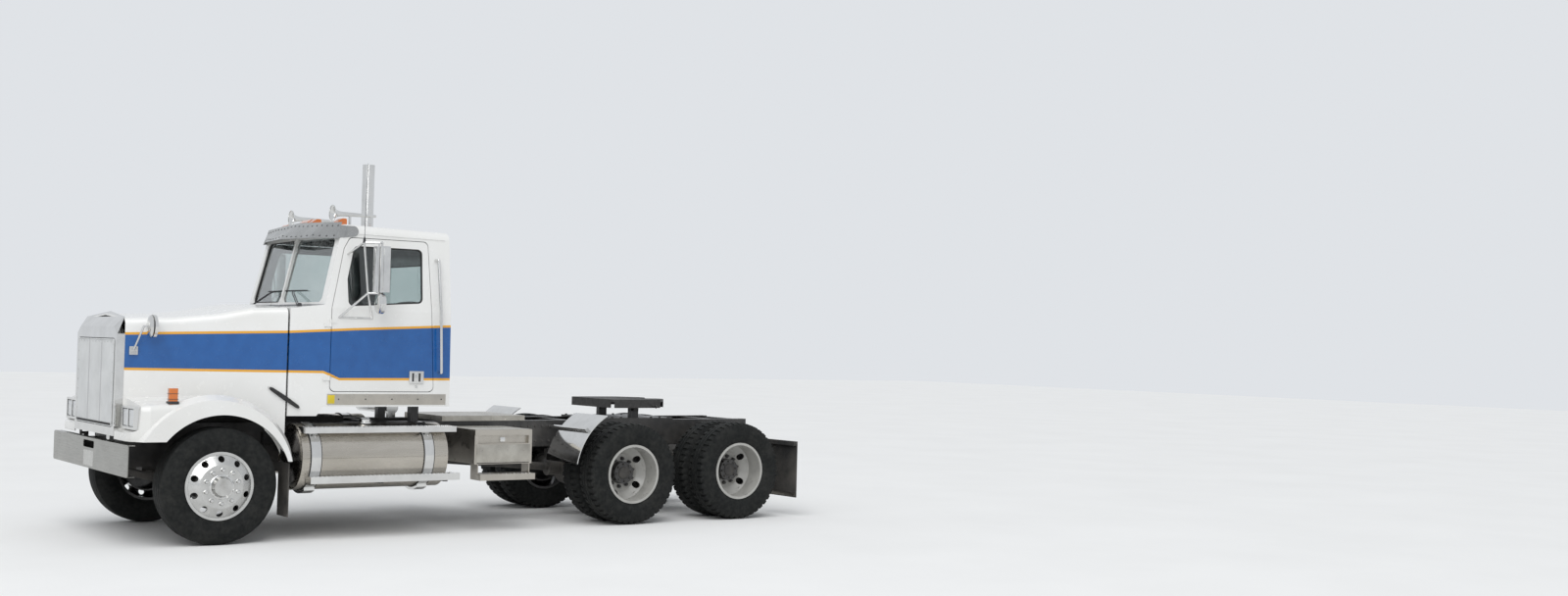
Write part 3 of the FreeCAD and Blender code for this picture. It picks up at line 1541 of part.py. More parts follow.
def rear_window_outline(grow):
    return rounded_face(front_points([
        (s.rear_window_half + grow, s.rear_window_low - grow),
        (s.rear_window_half + grow, s.rear_window_high + grow),
        (-s.rear_window_half - grow, s.rear_window_high + grow),
        (-s.rear_window_half - grow, s.rear_window_low - grow),
    ], s.cab_rear_top - s.cab_wall * 2), s.rear_window_corner)


def screen_prism(grow):
    """Both halves of the windscreen opening, drawn through the front wall."""
    reach = s.glass_head_y + s.glass_sweep + s.cab_wall * 2 - s.cab_front
    half = screen_outline(grow).extrude(Vector(0, reach, 0))
    return [half, flip(half)]


def side_prism(outline, sign):
    """A side outline drawn through one side wall."""
    return outline.translated(Vector(sign * s.cab_half / 2, 0, 0)).extrude(Vector(sign * s.cab_half, 0, 0))


def hinge_halves(form, z):
    """One door hinge: the cab's knuckle with its leaf, and the door's with its leaf and pin."""
    x = s.hinge_line_out
    y = s.hinge_line_y
    tall = s.hinge_height
    skin = s.cab_half
    thick = s.hinge_leaf_thickness
    fixed = Part.makeCylinder(s.hinge_radius, tall, Vector(x, y, z - tall - s.running_gap))
    leaf = Part.makeBox(s.hinge_leaf, s.hinge_leaf, tall,
                        Vector(skin + s.hinge_leaf_gap + thick - s.hinge_leaf, y - s.hinge_leaf,
                               z - tall - s.running_gap))
    fixed = fixed.fuse(leaf.cut(form))
    fixed = fixed.cut(Part.makeCylinder(s.hinge_pin_radius + s.running_gap, tall * 2,
                                        Vector(x, y, z - tall * 1.5)))
    turning = Part.makeCylinder(s.hinge_radius, tall, Vector(x, y, z))
    turning = turning.fuse(Part.makeBox(thick, s.hinge_leaf, tall, Vector(skin + s.hinge_leaf_gap, y, z)))
    pad_y = s.door_front + s.running_gap
    pad = Part.makeBox(s.hinge_leaf_gap, y + s.hinge_leaf - pad_y, tall, Vector(skin, pad_y, z))
    pin = Part.makeCylinder(s.hinge_pin_radius, tall * 2, Vector(x, y, z - tall))
    return fixed, turning.multiFuse([pad, pin])


def cab_walls(form):
    return form.cut(cab_block(s.cab_wall))


def cab_shell(walls, hinges):
    tools = screen_prism(0)
    tools.append(rear_window_outline(0).extrude(Vector(0, s.cab_wall * 4, 0)))
    for sign in SIDES.values():
        tools.append(side_prism(door_outline(s.panel_gap), sign))
    fixed = [half for half, turning in hinges]
    shell = walls.cut(Part.makeCompound(tools)).multiFuse(fixed + [flip(half) for half in fixed])
    return shaped("cab_shape", shell)


def door(walls, hinges, sign):
    panel = walls.common(side_prism(door_outline(0), sign)).cut(side_prism(window_outline(0), sign))
    turning = [flip(half) if sign < 0 else half for fixed, half in hinges]
    return shaped("door_shape", panel.multiFuse(turning))


def door_glass(sign):
    """The door's pane, in the middle of the wall and leaning as it does."""
    lean = (s.cab_half - s.cab_roof_half) / (s.cab_roof - s.roof_drop - s.roof_corner - s.cab_belt)
    low = s.cab_belt - s.overrun
    high = s.cab_roof
    out = s.cab_half - s.cab_wall / 2
    strip = face(front_points([
        (out, low), (out + s.glass_thickness, low), (out + s.glass_thickness, s.cab_belt),
        (out + s.glass_thickness - lean * (high - s.cab_belt), high),
        (out - lean * (high - s.cab_belt), high), (out, s.cab_belt),
    ], s.cab_front)).extrude(Vector(0, s.cab_rear - s.cab_front, 0))
    if sign < 0:
        strip = flip(strip)
    return shaped("door_glass_shape", strip.common(side_prism(window_outline(-s.running_gap), sign)))


def cab_glass():
    """The two windscreen panes and the rear window."""
    middle = s.cab_wall / 2
    outer = windscreen_cutter(middle + s.glass_thickness)
    panes = []
    slab = outer.cut(windscreen_cutter(middle))
    for prism in screen_prism(-s.running_gap):
        panes.append(slab.common(prism))
    lean = (s.cab_rear - s.cab_rear_top) / (s.cab_roof + s.overrun - s.sill_low)
    foot = s.cab_rear - middle
    head = foot - lean * (s.cab_roof - s.sill_low)
    half = s.rear_window_half + s.overrun
    strip = face(side_points([
        (foot, s.sill_low), (foot + s.glass_thickness, s.sill_low),
        (head + s.glass_thickness, s.cab_roof), (head, s.cab_roof),
    ], -half)).extrude(Vector(half * 2, 0, 0))
    opening = rear_window_outline(-s.running_gap).extrude(Vector(0, s.cab_wall * 4, 0))
    panes.append(strip.common(opening))
    solids = [solid for pane in panes for solid in pane.Solids]
    return shaped("cab_glass_shape", Part.makeCompound(solids))


def door_mirror(form, sign):
    """A tube bracket on the door with a tall mirror head and a round convex mirror below it."""
    lean = (s.cab_half - s.cab_roof_half) / (s.cab_roof - s.roof_drop - s.roof_corner - s.cab_belt)
    strut_x = s.cab_half - lean * (s.strut_foot_z - s.cab_belt)
    bar_x = s.cab_half
    top = Vector(s.arm_top_out, s.arm_top_y, s.arm_top_z)
    low = Vector(s.arm_top_out, s.arm_low_y, s.arm_low_z)
    foot = Vector(strut_x, s.strut_foot_y, s.strut_foot_z)
    bar_front = Vector(bar_x, s.bar_front_y, s.bar_z)
    bar_rear = Vector(bar_x, s.bar_rear_y, s.bar_z)
    head_x = s.head_out
    upper = Vector(head_x, s.head_y, s.arm_top_z)
    lower = Vector(head_x, s.head_y, s.arm_low_z)
    runs = [(top, low), (top, foot), (low, bar_front), (low, bar_rear), (bar_front, bar_rear),
            (top, upper), (low, lower)]
    shape = Part.makeBox(s.head_width, s.head_depth, s.head_high - s.head_low,
                         Vector(-s.head_width / 2, -s.head_depth / 2, s.head_low))
    shape = shape.makeFillet(s.arm_radius, [edge for edge in shape.Edges
                                            if abs(edge.tangentAt(0).z) > 0.9])
    shape.rotate(Vector(0, 0, 0), Vector(0, 0, 1), 20)
    shape.translate(Vector(head_x, s.head_y, 0))
    for start, end in runs:
        shape = shape.fuse(bar_between(start, end, s.arm_radius))
        shape = shape.fuse(Part.makeSphere(s.arm_radius, end))
    shape = shape.fuse(bar_between(upper, Vector(head_x, s.head_y, s.head_high), s.arm_radius))
    shape = shape.fuse(bar_between(Vector(head_x, s.head_y, s.convex_z),
                                   Vector(head_x, s.head_y, s.head_low), s.arm_radius))
    shape = shape.fuse(Part.makeCylinder(s.convex_radius, s.convex_depth,
                                         Vector(head_x, s.head_y - s.convex_depth / 2, s.convex_z),
                                         Vector(0, 1, 0)))
    shape = shape.cut(form)
    return shaped("door_mirror_shape", flip(shape) if sign < 0 else shape)


def sun_visor(form):
    """A drop visor over the windscreen: a sheet lofted across the cab, with a wing down each side."""
    sections = []
    thick = s.visor_thickness
    for share in (-1.0, -0.6, 0.0, 0.6, 1.0):
        bow = share * share
        front_y = s.visor_front_y + (s.visor_side_y - s.visor_front_y) * bow
        front_z = s.visor_front_z + (s.visor_side_z - s.visor_front_z) * bow
        back_y = s.visor_back_y + (s.visor_back_side_y - s.visor_back_y) * bow
        x = s.visor_half * share
        back_z = roof_height(x, back_y) + s.visor_back_rise
        sections.append(Part.makePolygon([
            Vector(x, front_y, front_z), Vector(x, back_y, back_z),
            Vector(x, back_y, back_z + thick), Vector(x, front_y, front_z + thick),
            Vector(x, front_y, front_z),
        ]))
    sheet_shape = Part.makeLoft(sections, True, True)
    radius = (s.visor_wing_high - s.visor_wing_low) / 2
    middle_y = s.visor_wing_rear - radius
    inner = s.visor_half - thick
    low = (s.visor_side_y - thick, s.visor_side_z)
    high = (s.visor_back_side_y - thick, s.visor_wing_high)
    front = face(side_points([low, (middle_y, s.visor_wing_low), (middle_y, s.visor_wing_high), high], inner))
    rear = rounded_face(side_points([low, (s.visor_wing_rear, s.visor_wing_low),
                                     (s.visor_wing_rear, s.visor_wing_high), high], inner), radius)
    across = Vector(thick * 2, 0, 0)
    wing = front.extrude(across).fuse(rear.extrude(across)).removeSplitter()
    return sheet_shape.multiFuse([wing, flip(wing)]).cut(form)


def roof_height(x, y):
    """The roof's height at a distance from the middle and a place along the truck."""
    length = s.cab_rear - s.cab_front + s.overrun * 2
    fall = s.roof_fall * (y - s.cab_front + s.overrun) / length
    return s.cab_roof - fall - s.roof_drop * abs(x) / (s.cab_roof_half - s.roof_corner)


def marker_lamps(form):
    """Five amber lamps along the roof's front edge, and two tail lamps at the frame's end."""
    lamps = []
    inner = [(x, s.lamp_y) for x in (-s.lamp_inner_out, 0, s.lamp_inner_out)]
    for x, y in inner + [(-s.lamp_out, s.lamp_side_y), (s.lamp_out, s.lamp_side_y)]:
        base = roof_height(x, y)
        start = y - s.lamp_length / 2
        end = y + s.lamp_length / 2
        lamp = rounded_face(side_points([
            (start, base - s.lamp_height), (end, base - s.lamp_height),
            (end, base + s.lamp_height), (y, base + s.lamp_height), (start, base + s.lamp_height / 2),
        ], x - s.lamp_width / 2), s.lamp_height / 4).extrude(Vector(s.lamp_width, 0, 0))
        lamps.append(lamp.cut(form))
    for sign in SIDES.values():
        lamps.append(Part.makeCylinder(s.tail_lamp_radius, s.tail_lamp_depth,
                                       Vector(sign * s.tail_lamp_out, s.rail_rear, s.tail_lamp_z),
                                       Vector(0, 1, 0)))
    return shaped("marker_lamps_shape", Part.makeCompound(lamps))


def flared(shares, inset, start, tail):
    """A round form about a trumpet: a flare through shares of the bell's length and radius, then a tail."""
    x = s.trumpet_out
    z = s.trumpet_z
    points = [Vector(x, s.bell_y + s.bell_length * along, z + s.bell_radius * out - inset)
              for along, out in shares]
    flare = Part.BSplineCurve()
    flare.interpolate(Points=points)
    end_y, end_radius = tail
    corners = [points[-1], Vector(x, end_y, z + end_radius), Vector(x, end_y, z), Vector(x, start, z),
               Vector(x, start, points[0].z), points[0]]
    profile = Part.Wire([flare.toShape()] + Part.makePolygon(corners).Edges)
    return Part.Face(profile).revolve(Vector(x, 0, z), Vector(0, 1, 0), 360)


def air_horns(form):
    """Two long trumpets on feet, their flared bells open at the front of the roof."""
    x = s.trumpet_out
    z = s.trumpet_z
    flare_shares = ((0.04, 1.0), (0.25, 0.52), (0.55, 0.33), (1.0, 0.27))
    horn = flared(flare_shares, 0, s.bell_y, (s.trumpet_rear, s.trumpet_radius * 0.8))
    bowl_end = s.bell_y + s.bell_length * 0.7
    bowl = flared(flare_shares[:3], s.bell_lip, s.bell_y - s.overrun, (bowl_end, s.trumpet_radius / 2))
    horn = horn.cut(bowl)
    neck_y = s.bell_y + s.bell_length
    for share in (0.15, 0.85):
        y = neck_y + (s.trumpet_rear - neck_y) * share
        foot_low = roof_height(x, y) - s.trumpet_foot_radius
        foot = Part.makeCylinder(s.trumpet_foot_radius, z - foot_low, Vector(x, y, foot_low))
        horn = horn.fuse(foot.cut(form))
    return shaped("air_horns_shape", Part.makeCompound([horn, flip(horn)]))


def seats():
    """Two cushioned seats on plain bases."""
    low = s.seat_low
    x = s.seat_out - s.seat_width / 2
    rear = s.seat_front + s.seat_length
    base = box("seat_base", (x + s.back_thickness, s.seat_front + s.back_thickness, s.seat_base_low),
               (x + s.seat_width - s.back_thickness, rear - s.back_thickness, low))
    cushion = box("seat_cushion", (x, s.seat_front, low), (x + s.seat_width, rear, low + s.cushion_thickness))
    back = box("seat_back", (x, rear, low), (x + s.seat_width, rear + s.back_thickness, low + s.back_height))
    return pair("seats_pair", fuse("seat_union", [base, cushion, back]))


def dash_form():
    """The dashboard's block, up against the front wall and under the cowl."""
    front = s.cab_front + s.cab_wall
    high = s.cowl_top - s.cab_wall
    points = side_points([
        (front, s.dash_low), (s.dash_rear - s.overrun * 2, s.dash_low),
        (s.dash_rear, high - s.overrun), (s.dash_rear - s.overrun, high), (front, high),
    ], -s.dash_half)
    return face(points).extrude(Vector(s.dash_half * 2, 0, 0))


def steering_wheel(dash):
    """The steering wheel with its column, on the left side of the cab."""
    centre = Vector(s.seat_out, s.wheel_centre_y, s.wheel_centre_z)
    foot = Vector(s.seat_out, s.dash_rear - s.overrun * 2, (s.dash_low + s.cowl_top) / 2)
    axis = centre - foot
    ring = Part.makeTorus(s.wheel_ring_radius, s.wheel_tube_radius, centre, axis)
    column = bar_between(foot, centre, s.column_radius)
    side = axis.cross(Vector(1, 0, 0)).normalize()
    spokes = [bar_between(centre, centre + side * s.wheel_ring_radius, s.wheel_tube_radius * 0.8),
              bar_between(centre - Vector(1, 0, 0) * s.wheel_ring_radius,
                          centre + Vector(1, 0, 0) * s.wheel_ring_radius, s.wheel_tube_radius * 0.8)]
    return shaped("steering_wheel_shape", ring.multiFuse([column.cut(dash)] + spokes))


def exhaust_stack():
    """The upright pipe behind the right door, with its heat shield and the pipe that feeds it."""
    x = -s.stack_out
    pipe = rod("stack_pipe", "z", s.stack_radius, (x, s.stack_y, s.stack_low), s.stack_high - s.stack_low)
    shield = rod("stack_shield", "z", s.shield_radius, (x, s.stack_y, s.shield_low),
                 s.shield_high - s.shield_low)
    feed = rod("stack_feed", "x", s.stack_radius, (x, s.stack_y, s.stack_low), s.stack_out - s.elbow_end)
    corner = doc.addObject("Part::Sphere", "stack_corner")
    bind(corner, "Radius", s.stack_radius)
    place(corner, x, s.stack_y, s.stack_low)
    stand = box("stack_stand", (-s.rail_out, s.stack_y - s.stack_radius / 2, s.rail_top),
                (-s.elbow_end, s.stack_y + s.stack_radius / 2, s.stack_low))
    return fuse("stack_union", [pipe, shield, feed, corner, stand])


def fuel_tanks():
    body = doc.addObject("PartDesign::Body", "tank")
    front = s.tank_front
    rear = s.tank_rear
    sketch = outline_sketch(body, "tank_outline", "YZ_Plane", [
        (front - s.dome_depth, 0), (front - s.dome_depth * 0.82, s.tank_radius * 0.45),
        (front - s.dome_depth * 0.3, s.tank_radius * 0.8), (front + s.tank_rim, s.tank_radius - s.tank_rim),
        (front, s.tank_radius - s.tank_rim), (front, s.tank_radius), (rear, s.tank_radius),
        (rear, s.tank_radius - s.tank_rim), (rear - s.tank_rim, s.tank_radius - s.tank_rim),
        (rear + s.dome_depth * 0.3, s.tank_radius * 0.8), (rear + s.dome_depth * 0.82, s.tank_radius * 0.45),
        (rear + s.dome_depth, 0),
    ])
    revolution(body, "tank_barrel", sketch, "Y_Axis")
    place(body, x=s.tank_out, z=s.tank_z)
    return pair("fuel_tanks_pair", body)


def tank_mounts():
    """Straps about each tank, the cradles that hang it from the rail, and the two long steps."""
    pieces = []
    seat = s.tank_radius
    for which, y in (("front", s.strap_front_y), ("rear", s.strap_rear_y)):
        start = y - s.strap_width / 2
        pieces.append(rod("strap_" + which, "y", seat + s.strap_thickness, (s.tank_out, start, s.tank_z),
                          s.strap_width))
        pieces.append(box("tank_hanger_" + which, (s.rail_out, start, s.tank_z - seat * 0.6),
                          (s.tank_out - seat * 0.55, start + s.strap_width, s.rail_top - s.cradle_in_gap)))
        cradle = doc.addObject("Part::Common", "cradle_" + which)
        cradle.Base = rod("cradle_round_" + which, "y", seat + s.cradle_thickness,
                          (s.tank_out, start, s.tank_z), s.strap_width)
        cradle.Tool = box("cradle_extent_" + which, (s.rail_out, start, s.tank_z - seat * 2),
                          (s.tank_out + s.cradle_reach, start + s.strap_width, s.tank_z))
        pieces.append(cradle)
    pieces.append(box("upper_step", (s.step_in, s.upper_step_front, s.upper_step_low),
                      (s.step_out, s.upper_step_rear, s.upper_step_high)))
    pieces.append(box("lower_step", (s.step_in, s.lower_step_front, s.lower_step_low),
                      (s.step_out, s.lower_step_rear, s.lower_step_high)))
    hollow = rod("tank_hollow", "y", seat + s.running_gap, (s.tank_out, s.tank_front - s.overrun, s.tank_z),
                 s.tank_rear - s.tank_front + s.overrun * 3)
    left = cut("tank_mount", fuse("tank_mount_union", pieces), hollow)
    return pair("tank_mounts_pair", left)


def side_boxes():
    """A battery box on the left and a tool box on the right, each with a tread plate and a step."""
    body = box("box_body", (s.box_in, s.box_front, s.box_low), (s.box_out, s.box_rear, s.box_high))
    recess = box("box_recess", (s.box_out - s.recess_depth, s.box_front + s.recess_depth, s.recess_low),
                 (s.box_out + s.overrun, s.box_rear - s.recess_depth, s.box_high - s.hanger_thickness))
    tread = box("box_tread", (s.box_in, s.tread_front, s.box_high), (s.tread_out, s.tread_rear, s.tread_high))
    step = box("box_step", (s.box_step_in, s.box_step_front, s.box_step_low),
               (s.tread_out, s.box_step_rear, s.box_step_high))
    pieces = [cut("box_cut", body, recess), tread, step]
    for which, y in (("front", s.box_step_front), ("rear", s.box_rear - s.hanger_thickness)):
        pieces.append(box("step_hanger_" + which, (s.box_step_in, y, s.box_step_low),
                          (s.box_out - s.recess_depth, y + s.hanger_thickness, s.box_low + s.overrun)))
        pieces.append(box("box_arm_" + which, (s.rail_out, y, s.rail_top - s.rail_height + s.rail_flange),
                          (s.box_in + s.overrun, y + s.hanger_thickness,
                           s.rail_top - s.rail_flange)))
    return pair("side_boxes_pair", fuse("side_box_union", pieces))


def deck():
    """The plate across the rails behind the cab, folded down at its edges and ribbed below."""
    top = s.rail_top + s.deck_height
    tray = box("deck_tray", (-s.deck_half, s.deck_front, s.rail_top), (s.deck_half, s.deck_rear, top))
    inner = s.deck_half - s.deck_wall
    hollow = box("deck_hollow", (-inner, s.deck_front + s.deck_wall, s.rail_top - s.overrun),
                 (inner, s.deck_rear - s.deck_wall, top - s.deck_wall))
    pieces = [cut("deck_cut", tray, hollow)]
    for index, share in enumerate((0.25, 0.5, 0.75)):
        y = s.deck_front + (s.deck_rear - s.deck_front) * share
        pieces.append(box("deck_rib_%d" % index, (-s.deck_half + s.deck_wall, y, s.rail_top),
                          (s.deck_half - s.deck_wall, y + s.deck_wall, top - s.deck_wall)))
    return fuse("deck_union", pieces)


def quarter_fenders():
    """Curved plates ahead of the first drive axle, each on an arm from the rail."""
    centre = Vector(s.quarter_in, axle_y["drive1"], s.tyre_radius)
    span = s.quarter_end_deg - s.quarter_start_deg
    width = s.quarter_out - s.quarter_in

    def sector(radius):
        start = Vector(0, math.cos(math.radians(s.quarter_start_deg)),
                       math.sin(math.radians(s.quarter_start_deg)))
        edge = Part.makeLine(centre, centre + start * float(radius))
        swept = edge.revolve(centre, Vector(1, 0, 0), span)
        return swept.extrude(Vector(width, 0, 0))

    plate = sector(s.quarter_radius + s.quarter_wall).cut(
        Part.makeCylinder(s.quarter_radius, width * 2, centre - Vector(width / 2, 0, 0), Vector(1, 0, 0)))
    angle = math.radians(s.quarter_arm_deg)
    reach = s.quarter_radius + s.quarter_arm_radius
    arm_at = Vector(s.rail_out, centre.y + math.cos(angle) * reach, centre.z + math.sin(angle) * reach)
    arm_length = s.quarter_out - s.overrun - s.rail_out
    arm = Part.makeCylinder(s.quarter_arm_radius, arm_length, arm_at, Vector(1, 0, 0))
    one = plate.fuse(arm)
    return shaped("quarter_fenders_shape", Part.makeCompound([one, flip(one)]))


def mud_flaps():
    """Black flaps at the truck's tail and behind the steered wheels, on their bars."""
    face_y = tail_y - s.flap_thickness
    bar_low = s.flap_high - s.flap_bar_height
    flap = box("rear_flap", (s.flap_in, face_y, s.flap_low), (s.flap_out, tail_y, s.flap_high))
    bar = box("flap_bar", (s.rail_out, face_y - s.flap_bar_depth, bar_low), (s.flap_out, face_y, s.flap_high))
    arm = box("flap_arm", (s.rail_out, s.rail_rear - s.rail_height, bar_low),
              (s.rail_out + s.flap_bar_depth, face_y, s.flap_high))
    rear_piece = fuse("rear_flap_union", [flap, bar, arm])
    front = box("front_flap", (s.front_flap_in, s.front_flap_y, s.front_flap_low),
                (s.front_flap_out, s.front_flap_y + s.flap_thickness, s.front_flap_high))
    stay = box("front_flap_stay", (s.rail_out, s.front_flap_y, s.front_flap_high - s.flap_bar_height * 2),
               (s.front_flap_in, s.front_flap_y + s.flap_thickness, s.front_flap_high))
    riser = box("front_flap_riser", (s.rail_out, s.front_flap_y, s.front_flap_high - s.flap_bar_height * 2),
                (s.rail_out + s.flap_bar_depth, s.front_flap_y + s.flap_thickness,
                 s.rail_top - s.rail_flange))
    front_piece = fuse("front_flap_union", [front, stay, riser])
    right = [mirrored("rear_flap_right", rear_piece), mirrored("front_flap_right", front_piece)]
    return compound("mud_flaps_group", [rear_piece, front_piece] + right)


def fifth_wheel_base():
    """The mounting plate on the rails with the two stands that carry the pivot."""
    plate = box("coupling_base", (-s.rail_out, s.coupling_y - s.base_length / 2, s.rail_top),
                (s.rail_out, s.coupling_y + s.base_length / 2, s.rail_top + s.base_height))
    start = s.stand_out
    stand = box("coupling_stand", (start, s.coupling_y - s.stand_eye_radius, s.rail_top + s.base_height),
                (start + s.stand_width, s.coupling_y + s.stand_eye_radius, s.pivot_z))
    eye = rod("stand_eye", "x", s.stand_eye_radius, (start, s.coupling_y, s.pivot_z), s.stand_width)
    bore = rod("stand_bore", "x", s.pivot_radius + s.running_gap,
               (start - s.overrun, s.coupling_y, s.pivot_z), s.stand_width + s.overrun * 2)
    one = cut("stand_cut", fuse("stand_union", [stand, eye]), bore)
    return fuse("coupling_base_union", [plate, one, mirrored("stand_right", one)])


def fifth_wheel():
    """The coupling plate: a thick top with a skirt, a throat for the kingpin and its pivot pins."""
    y0 = s.coupling_y
    half = s.plate_half_width
    front = y0 - s.plate_front_reach
    rear = y0 + s.plate_rear_reach
    low = s.plate_top - s.plate_thickness
    corner = s.plate_front_reach / 2
    outline = rounded_face(plan_points([
        (half, front), (half, rear - corner), (half * 0.55, rear), (-half * 0.55, rear),
        (-half, rear - corner), (-half, front),
    ], low), corner / 2)
    top = outline.extrude(Vector(0, 0, s.plate_thickness))
    skirt = outline.translated(Vector(0, 0, -s.plate_skirt)).extrude(Vector(0, 0, s.plate_skirt))
    wall = s.plate_thickness / 2
    inner = Part.makeBox((half - wall) * 2, rear - front - wall * 2, s.plate_skirt,
                         Vector(-half + wall, front + wall, low - s.plate_skirt))
    top = top.fuse(skirt.cut(inner))
    reach = rear - y0 + s.overrun
    throat = face(plan_points([
        (s.throat_radius, y0), (s.throat_mouth_half, y0 + reach), (-s.throat_mouth_half, y0 + reach),
        (-s.throat_radius, y0),
    ], low - s.plate_skirt * 2)).extrude(Vector(0, 0, s.plate_skirt * 3))
    bore = Part.makeCylinder(s.throat_radius, s.plate_skirt * 3, Vector(0, y0, low - s.plate_skirt * 2))
    jaw_low = s.plate_top - s.throat_length
    jaw = Part.makeCylinder(s.throat_radius * 3, s.throat_length, Vector(0, y0, jaw_low))
    shape = top.fuse(jaw).cut(throat.fuse(bore))
    for sign in SIDES.values():
        lug_x = s.stand_out + s.stand_width + s.running_gap
        lug = Part.makeBox(s.stand_width / 2, s.stand_width, low - s.pivot_z + s.pivot_radius * 1.5,
                           Vector(lug_x, y0 - s.stand_width / 2, s.pivot_z - s.pivot_radius * 1.5))
        inner_lug = Part.makeBox(s.stand_width / 2, s.stand_width, low - s.pivot_z + s.pivot_radius * 1.5,
                                 Vector(s.stand_out - s.running_gap - s.stand_width / 2,
                                        y0 - s.stand_width / 2, s.pivot_z - s.pivot_radius * 1.5))
        pin = Part.makeCylinder(s.pivot_radius, s.stand_width * 2 + s.running_gap * 2,
                                Vector(s.stand_out - s.running_gap - s.stand_width / 2, y0, s.pivot_z),
                                Vector(1, 0, 0))
        group = lug.fuse(inner_lug).fuse(pin)
        shape = shape.fuse(flip(group) if sign < 0 else group)
    return shaped("fifth_wheel_shape", shape)


def grab_handles(form):
    """A long upright rail behind each door on two stand-offs."""
    lean = (s.cab_half - s.cab_roof_half) / (s.cab_roof - s.roof_drop - s.roof_corner - s.cab_belt)
    top_x = s.cab_half - lean * (s.grab_high - s.cab_belt)
    belt_share = (s.cab_belt - s.grab_low) / (s.grab_high - s.grab_low)
    belt_y = s.grab_low_y + (s.grab_high_y - s.grab_low_y) * belt_share
    low = Vector(s.cab_half + s.grab_stand, s.grab_low_y, s.grab_low)
    belt = Vector(s.cab_half + s.grab_stand, belt_y, s.cab_belt)
    high = Vector(top_x + s.grab_stand, s.grab_high_y, s.grab_high)
    one = bar_between(low, belt, s.grab_radius).fuse(bar_between(belt, high, s.grab_radius))
    for end, wall_x in ((low, s.cab_half), (high, top_x)):
        one = one.fuse(bar_between(Vector(wall_x - s.grab_radius, end.y, end.z), end, s.grab_radius))
        one = one.fuse(Part.makeSphere(s.grab_radius, end))
    one = one.fuse(Part.makeSphere(s.grab_radius, belt)).cut(form)
    return shaped("grab_handles_shape", Part.makeCompound([one, flip(one)]))


for side, sign in SIDES.items():
    turn = Rotation(Vector(0, 0, 1), 0 if sign > 0 else 180)
    wheels = {
        "front_tyre_": (tyre("front_tyre_body_" + side, Size(0, "0")), s.front_track_half * sign, datum_y),
        "front_rim_": (front_wheel("front_rim_body_" + side), s.front_track_half * sign, datum_y),
    }
    for which, y in axle_y.items():
        tyres = [tyre(which + "_tyre_outer_" + side, s.dual_spacing / 2),
                 tyre(which + "_tyre_inner_" + side, -s.dual_spacing / 2)]
        wheels[which + "_tyres_"] = (compound(which + "_tyres_group_" + side, tyres),
                                     s.dual_centre * sign, datum_y + y)
        wheels[which + "_rims_"] = (rear_wheels(which + "_rims_body_" + side),
                                    s.dual_centre * sign, datum_y + y)
    for label, (thing, x, y) in wheels.items():
        node(label + side, thing, x, y, s.tyre_radius, turn)
    node("knuckle_" + side, knuckle(sign))
    node("door_glass_" + side, door_glass(sign))

cab_form = cab_block(0)
hood_block = hood_form()
dash_block = dash_form()
walls = cab_walls(cab_form)
hinges = [hinge_halves(cab_form, z) for z in (s.hinge_low_z, s.hinge_high_z)]
node("cab_shell", cab_shell(walls, hinges))
for side, sign in SIDES.items():
    node("door_" + side, door(walls, hinges, sign))
    node("door_mirror_" + side, door_mirror(cab_form, sign))
SINGLES = {
    "frame": frame(),
    "front_axle": front_axle(),
    "tie_rod": tie_rod(),
    "drive_axles": drive_axles(),
    "rear_suspension": rear_suspension(),
    "engine": engine(),
    "hood": hood(hood_block),
    "grille_surround": grille_surround(hood_block),
    "winter_front": winter_front(),
    "headlamps": headlamps(hood_block),
    "signal_lamps": signal_lamps(hood_block),
    "hood_mirrors": hood_mirrors(hood_block),
    "bumper": bumper(),
    "cab_glass": cab_glass(),
    "sun_visor": shaped("visor_shape", sun_visor(cab_form)),
    "marker_lamps": marker_lamps(cab_form),
    "air_horns": air_horns(cab_form),
    "seats": seats(),
    "dashboard": shaped("dashboard_shape", dash_block),
    "steering_wheel": steering_wheel(dash_block),
    "exhaust_stack": exhaust_stack(),
    "fuel_tanks": fuel_tanks(),
    "tank_mounts": tank_mounts(),
    "side_boxes": side_boxes(),
    "deck": deck(),
    "quarter_fenders": quarter_fenders(),
    "mud_flaps": mud_flaps(),
    "fifth_wheel_base": fifth_wheel_base(),
    "fifth_wheel": fifth_wheel(),
    "grab_handles": grab_handles(cab_form),
}
for label, thing in SINGLES.items():
    node(label, thing)

doc.recompute()

faults = [thing.Name for thing in doc.Objects if "Invalid" in thing.State or "Error" in thing.State]
for thing in parts:
    if thing.Shape.isNull() or not thing.Shape.isValid() or not thing.Shape.Solids:
        faults.append(thing.Label)
if faults:
    raise RuntimeError("These objects failed: " + ", ".join(faults))

os.makedirs("parts", exist_ok=True)
for thing in parts:
    thing.Shape.exportStep("parts/" + thing.Label + ".step")
print(len(parts), "sub-parts,", sum(len(thing.Shape.Solids) for thing in parts), "solids")
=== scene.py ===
"""Looks for the tractor unit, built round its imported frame. Lengths are in metres."""
import math

import bmesh
import bpy
from mathutils import Matrix, Vector


